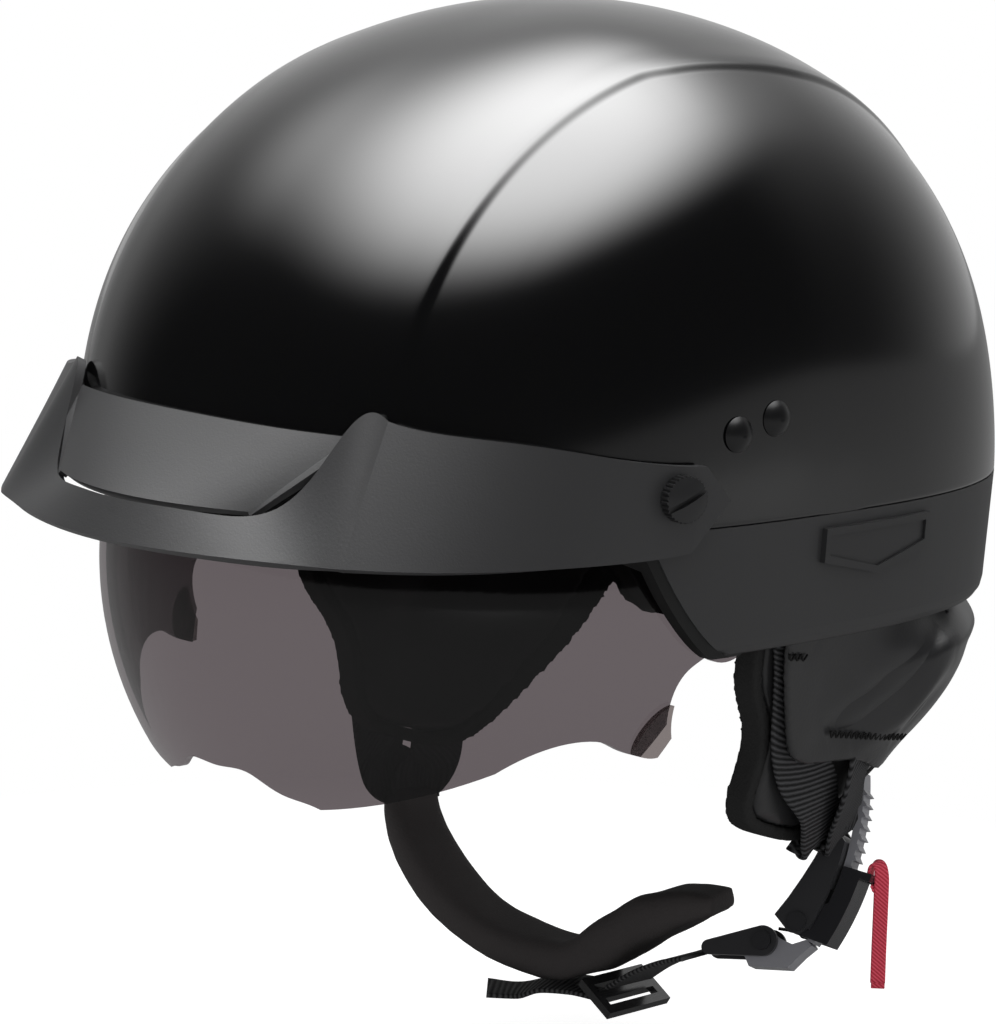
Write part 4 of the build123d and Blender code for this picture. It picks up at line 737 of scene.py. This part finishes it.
def swell_back(points, part=1.0):
    """Moves places on the apron outward behind the ears, where the filled leatherette bellies out."""
    x, y, z = points[:, 0], points[:, 1], points[:, 2]
    slope = np.stack([np.sign(x) * (np.abs(x) / CURTAIN_HALF) ** (PLAN_POWER - 1) / CURTAIN_HALF,
                      np.maximum(y, 0) ** (PLAN_POWER - 1) / CURTAIN_BACK ** PLAN_POWER, 0 * x], axis=1)
    share = ramp(y, 8, 72) * ramp(-z, 33, 52) * (1 - ramp(-z, 58, 101))
    return points + unit_rows(slope) * (SWELL * part * share)[:, None]


def dress(piece, body, slot, *replaced):
    """Lets a piece ride and stand for its solids; the slot it is given is not used."""
    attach(piece, body)
    if replaced:
        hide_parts(*replaced)
    return piece


# each leg's own end: the left ones turn round the buckle's bar, the right ones run into the sleeve
FOLDS = {
    "front_leg_left": ((79.0, 39.4, -107.3, 0.6, 0.3, -0.75), (76.6, 40.0, -107.8, -0.1, 0.1, -1.0),
                       (74.8, 38.6, -106.2, -0.8, -0.2, -0.5), (74.6, 36.2, -103.4, -0.92, -0.26, 0.3)),
    "rear_leg_left": ((77.2, 49.0, -108.8, 0.5, 0.3, -0.8), (75.2, 48.6, -109.3, -0.2, 0.0, -1.0),
                      (73.6, 47.2, -107.8, -0.8, -0.3, -0.5), (73.6, 45.6, -105.0, -0.85, -0.4, 0.3)),
    "front_leg_right": ((-91.0, 32.4, -122.0, -0.98, -0.1, -0.1), (-88.6, 32.8, -128.5, -0.9, 0.0, -0.35)),
    "rear_leg_right": ((-87.4, 33.0, -122.0, -0.98, 0.1, 0.0), (-86.4, 33.2, -128.5, -0.92, 0.0, -0.3)),
}
for name, fold_rows in FOLDS.items():
    STRAPS[name] += fold_rows
for name, look in (("front_leg_left", "web_up"), ("rear_leg_left", "web_down"),
                   ("front_leg_right", "web_up"), ("rear_leg_right", "web_down")):
    dress(band("webbing_" + name, STRAPS[name], LOOKS[look]), "helmet", "webbing", name)
chin = band("webbing_chin", STRAPS["chin_webbing"], LOOKS["web_cross"])
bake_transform(chin)
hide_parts("chin_webbing")
dress(band("webbing_free_end", STRAPS["tail"], LOOKS["web_cross"]), "helmet", "webbing", "webbing_tail")
print("six runs of webbing")

# %% [markdown]
# ## Padded and soft pieces
#
# The curtain is a padded apron in soft leatherette under a loose outer layer, and the chin strap
# runs through a brushed sleeve. Each starts as its solid, is wrapped in an even skin, relaxed, and
# pushed in and out by a few millimetres of slack: long diagonal folds on the leatherette, small
# dimples on the sleeve.


# %%
def wrapped(name, node, voxel, relax, material, part=1.0):
    """A copy of a solid with an even skin of small faces, its corners relaxed, bellied out by a share."""
    mesh = nodes[node].data.copy()
    piece = bpy.data.objects.new(name, mesh)
    bpy.context.scene.collection.objects.link(piece)
    skin = piece.modifiers.new("skin", "REMESH")
    skin.mode, skin.voxel_size = "VOXEL", voxel * MM
    soft = piece.modifiers.new("relax", "SMOOTH")
    soft.factor, soft.iterations = 0.5, relax
    held = bpy.context.evaluated_depsgraph_get()
    made = bpy.data.meshes.new_from_object(piece.evaluated_get(held))
    piece.modifiers.clear()
    piece.data = made
    points, normals = mesh_arrays(piece)
    set_points(piece, swell_back(points, part))
    made.materials.clear()
    made.materials.append(material)
    made.polygons.foreach_set("use_smooth", [True] * len(made.polygons))
    return piece


def mesh_arrays(piece):
    """A mesh's points in millimetres and its normals."""
    mesh = piece.data
    points = np.empty(len(mesh.vertices) * 3)
    mesh.vertices.foreach_get("co", points)
    normals = np.empty(len(mesh.vertices) * 3)
    mesh.vertices.foreach_get("normal", normals)
    return points.reshape(-1, 3) / MM, normals.reshape(-1, 3)


def set_points(piece, points):
    piece.data.vertices.foreach_set("co", (points * MM).ravel())
    piece.data.update()


def waves(points, spans, seed):
    """Smooth slack: a sum of sine waves of the given spans in random directions, about -1 to 1."""
    rng = np.random.default_rng(seed)
    total = np.zeros(len(points))
    for span in spans:
        way = rng.normal(size=3)
        way /= np.linalg.norm(way)
        total += np.sin(points @ way * 2 * math.pi / span + rng.uniform(0, 2 * math.pi))
    return total / len(spans)


def fold(points, start, end, width, depth):
    """A valley (or with a negative depth a ridge) across the side view from start to end (y, z)."""
    a, b = np.array(start, float), np.array(end, float)
    flat = points[:, 1:]
    reach = b - a
    share = np.clip(((flat - a) @ reach) / (reach @ reach), 0, 1)
    gap = np.linalg.norm(flat - (a + share[:, None] * reach), axis=1)
    fade = np.sin(np.clip(share, 0.02, 0.98) * math.pi) ** 0.5
    return -depth * np.exp(-(gap / width) ** 2) * fade


def curtain_slack(piece, amount, seed):
    """Folds on the curtain: drawn diagonals on the sides and loose waves all round."""
    points, normals = mesh_arrays(piece)
    side = ramp(np.abs(points[:, 0]), 62, 80)
    push = amount * 0.5 * waves(points, (46, 61, 33, 27), seed)
    push += side * amount * fold(points, (16, -70), (62, -42), 5.5, 1.5)
    push += side * amount * fold(points, (30, -76), (72, -54), 4.5, -1.1)
    push += side * amount * fold(points, (2, -40), (34, -58), 5.0, -0.7)
    push += side * amount * fold(points, (48, -78), (80, -62), 4.5, 0.9)
    set_points(piece, points + normals * push[:, None])


curtain = dress(wrapped("curtain_pad", "curtain_body", 1.9, 4, LOOKS["leather"], 1.15), "helmet",
                "leatherette", "curtain_body")
curtain_slack(curtain, 0.7, 3)
cover = dress(wrapped("curtain_outer", "curtain_cover", 0.85, 2, LOOKS["leather"]), "helmet",
              "leatherette", "curtain_cover")
curtain_slack(cover, 1.0, 5)
# the rear edge of the outer layer is drawn in, so that the bound edge of the apron shows beside it
points, normals = mesh_arrays(cover)
share = ramp(points[:, 1], 42, 72) * ramp(-points[:, 2], 36, 56)
points += share[:, None] * np.stack([3.0 * np.sign(points[:, 0]), 0 * share - 8.0, 0 * share + 5.0], axis=1)
set_points(cover, points)
binding = dress(wrapped("curtain_tape", "curtain_binding", 0.95, 2, LOOKS["binding"], 1.22), "helmet",
                "binding_tape", "curtain_binding")
sleeve = dress(wrapped("chin_sleeve", "chin_pad", 1.3, 6, LOOKS["felt"]), "helmet", "pad_cover", "chin_pad")
points, normals = mesh_arrays(sleeve)
set_points(sleeve, points + normals * (0.5 * waves(points, (19, 26, 14, 37), 8))[:, None])
for name in ("crown_pad", "brow_pad", "side_pad_left", "side_pad_right", "nape_pad"):
    pad = dress(wrapped("soft_" + name, name, 2.2, 5, LOOKS["pad"]), "helmet", "pad_fabric", name)
print("curtain faces", len(curtain.data.polygons), "cover", len(cover.data.polygons),
      "sleeve", len(sleeve.data.polygons))

# %% [markdown]
# ## Stitching
#
# The curtain's outer layer is tacked down with zigzag bars in black thread; they sit on its face,
# so each is laid out in the side view and lifted onto the leaning surface of the layer.


# %%
COVER_STAND = 6.1


def cover_x(y, z):
    """X of the outer layer at a place in the side view: the leaning plan oval, solved for x."""
    drop = z + CURTAIN_TOP
    lean = 0.19 * drop - 0.09 * np.minimum(drop, 0) ** 2 / CURTAIN_DEPTH
    half, reach = CURTAIN_HALF + COVER_STAND + lean, CURTAIN_BACK + COVER_STAND + lean
    return half * (1 - (np.abs(y) / reach) ** PLAN_POWER) ** (1 / PLAN_POWER)


def tube(name, points, radius, material, sides=6):
    """A round thread or wire along places in millimetres, closed at its ends."""
    points = np.asarray(points, float)
    along = unit_rows(np.gradient(points, axis=0))
    facing = np.tile((0.31, 0.17, 0.93), (len(points), 1))
    across = unit_rows(np.cross(along, facing))
    out = np.cross(across, along)
    turn = np.linspace(0, 2 * math.pi, sides, endpoint=False)
    ring = across[:, None] * np.cos(turn)[None, :, None] + out[:, None] * np.sin(turn)[None, :, None]
    verts = (points[:, None] + ring * radius).reshape(-1, 3)
    count = len(points)
    low = (np.arange(count - 1)[:, None] * sides + np.arange(sides)[None, :]).ravel()
    high = (np.arange(count - 1)[:, None] * sides + (np.arange(sides)[None, :] + 1) % sides).ravel()
    faces = np.stack([low, high, high + sides, low + sides], axis=1).tolist()
    faces += [list(range(sides)), list(range((count - 1) * sides, count * sides))[::-1]]
    return tidy_mesh(link_mesh(name, verts, faces, material), 0.000005)


def zigzag(name, start, end, pitch=2.1, height=1.9, lift=0.7, side=1):
    """A bar tack between two places (y, z): thread that steps up and down as it goes."""
    a, b = np.array(start, float), np.array(end, float)
    count = int(np.linalg.norm(b - a) / pitch) * 2 + 1
    share = np.linspace(0, 1, count)[:, None]
    flat = a + (b - a) * share
    flat[:, 1] += height / 2 * np.where(np.arange(count) % 2 == 0, 1, -1)
    fine = spline(flat, count * 4)
    x = side * (cover_x(fine[:, 0], fine[:, 1]) + lift)
    return tube(name, swell_back(np.column_stack([x, fine])), 0.32, LOOKS["stitch"])


for side, label in ((1, "left"), (-1, "right")):
    dress(zigzag("tack_low_" + label, (17.8, -69.0), (51.0, -74.8), side=side), "helmet", "leatherette")
    dress(zigzag("tack_high_" + label, (-8.8, -42.1), (-0.8, -43.2), side=side), "helmet", "leatherette")
print("bar tacks sewn")

# %% [markdown]
# ## The red pull ribbon
#
# The rider tugs a doubled ribbon to lift the lever. It leaves the slot in the lever's lip, arches
# over and hangs straight down, with its second strand close behind and both ends sewn together.

# %%
RIBBON_WIDTH, RIBBON_THICKNESS = 4.5, 0.9
RIBBON_OUTER = (
    (84.4, 55.8, -121.0, -0.92, -0.2, 0.33), (84.3, 56.4, -117.6, -0.9, -0.3, 0.41),
    (85.3, 57.2, -116.2, -0.1, -0.2, 1.0), (86.9, 57.4, -117.2, 0.7, -0.3, 0.6),
    (87.7, 57.2, -120.2, 0.75, -0.62, 0.2), (88.0, 57.0, -124.0, 0.68, -0.72, 0.05),
    (88.1, 57.0, -132.0, 0.66, -0.75, 0.0), (88.2, 57.0, -142.0, 0.66, -0.75, 0.0),
    (88.4, 57.0, -152.5, 0.66, -0.75, 0.0),
)
RIBBON_INNER = (
    (84.9, 56.0, -122.6, 0.3, 0.1, 0.95), (86.0, 56.8, -123.3, 0.8, -0.3, 0.5),
    (87.4, 57.9, -125.5, 0.75, -0.6, 0.1), (87.4, 57.9, -133.0, 0.66, -0.75, 0.0),
    (87.6, 57.9, -143.0, 0.66, -0.75, 0.0), (87.8, 57.9, -154.5, 0.66, -0.75, 0.0),
)
outer_strand = band("ribbon_outer", RIBBON_OUTER, LOOKS["ribbon"], RIBBON_WIDTH, RIBBON_THICKNESS, 60)
dress(outer_strand, "ribbon", "ribbon", "pull_ribbon")
dress(band("ribbon_inner", RIBBON_INNER, LOOKS["ribbon"], RIBBON_WIDTH * 0.92, RIBBON_THICKNESS, 50),
      "ribbon", "ribbon")
print("ribbon doubled")

# %%
print("scene built")
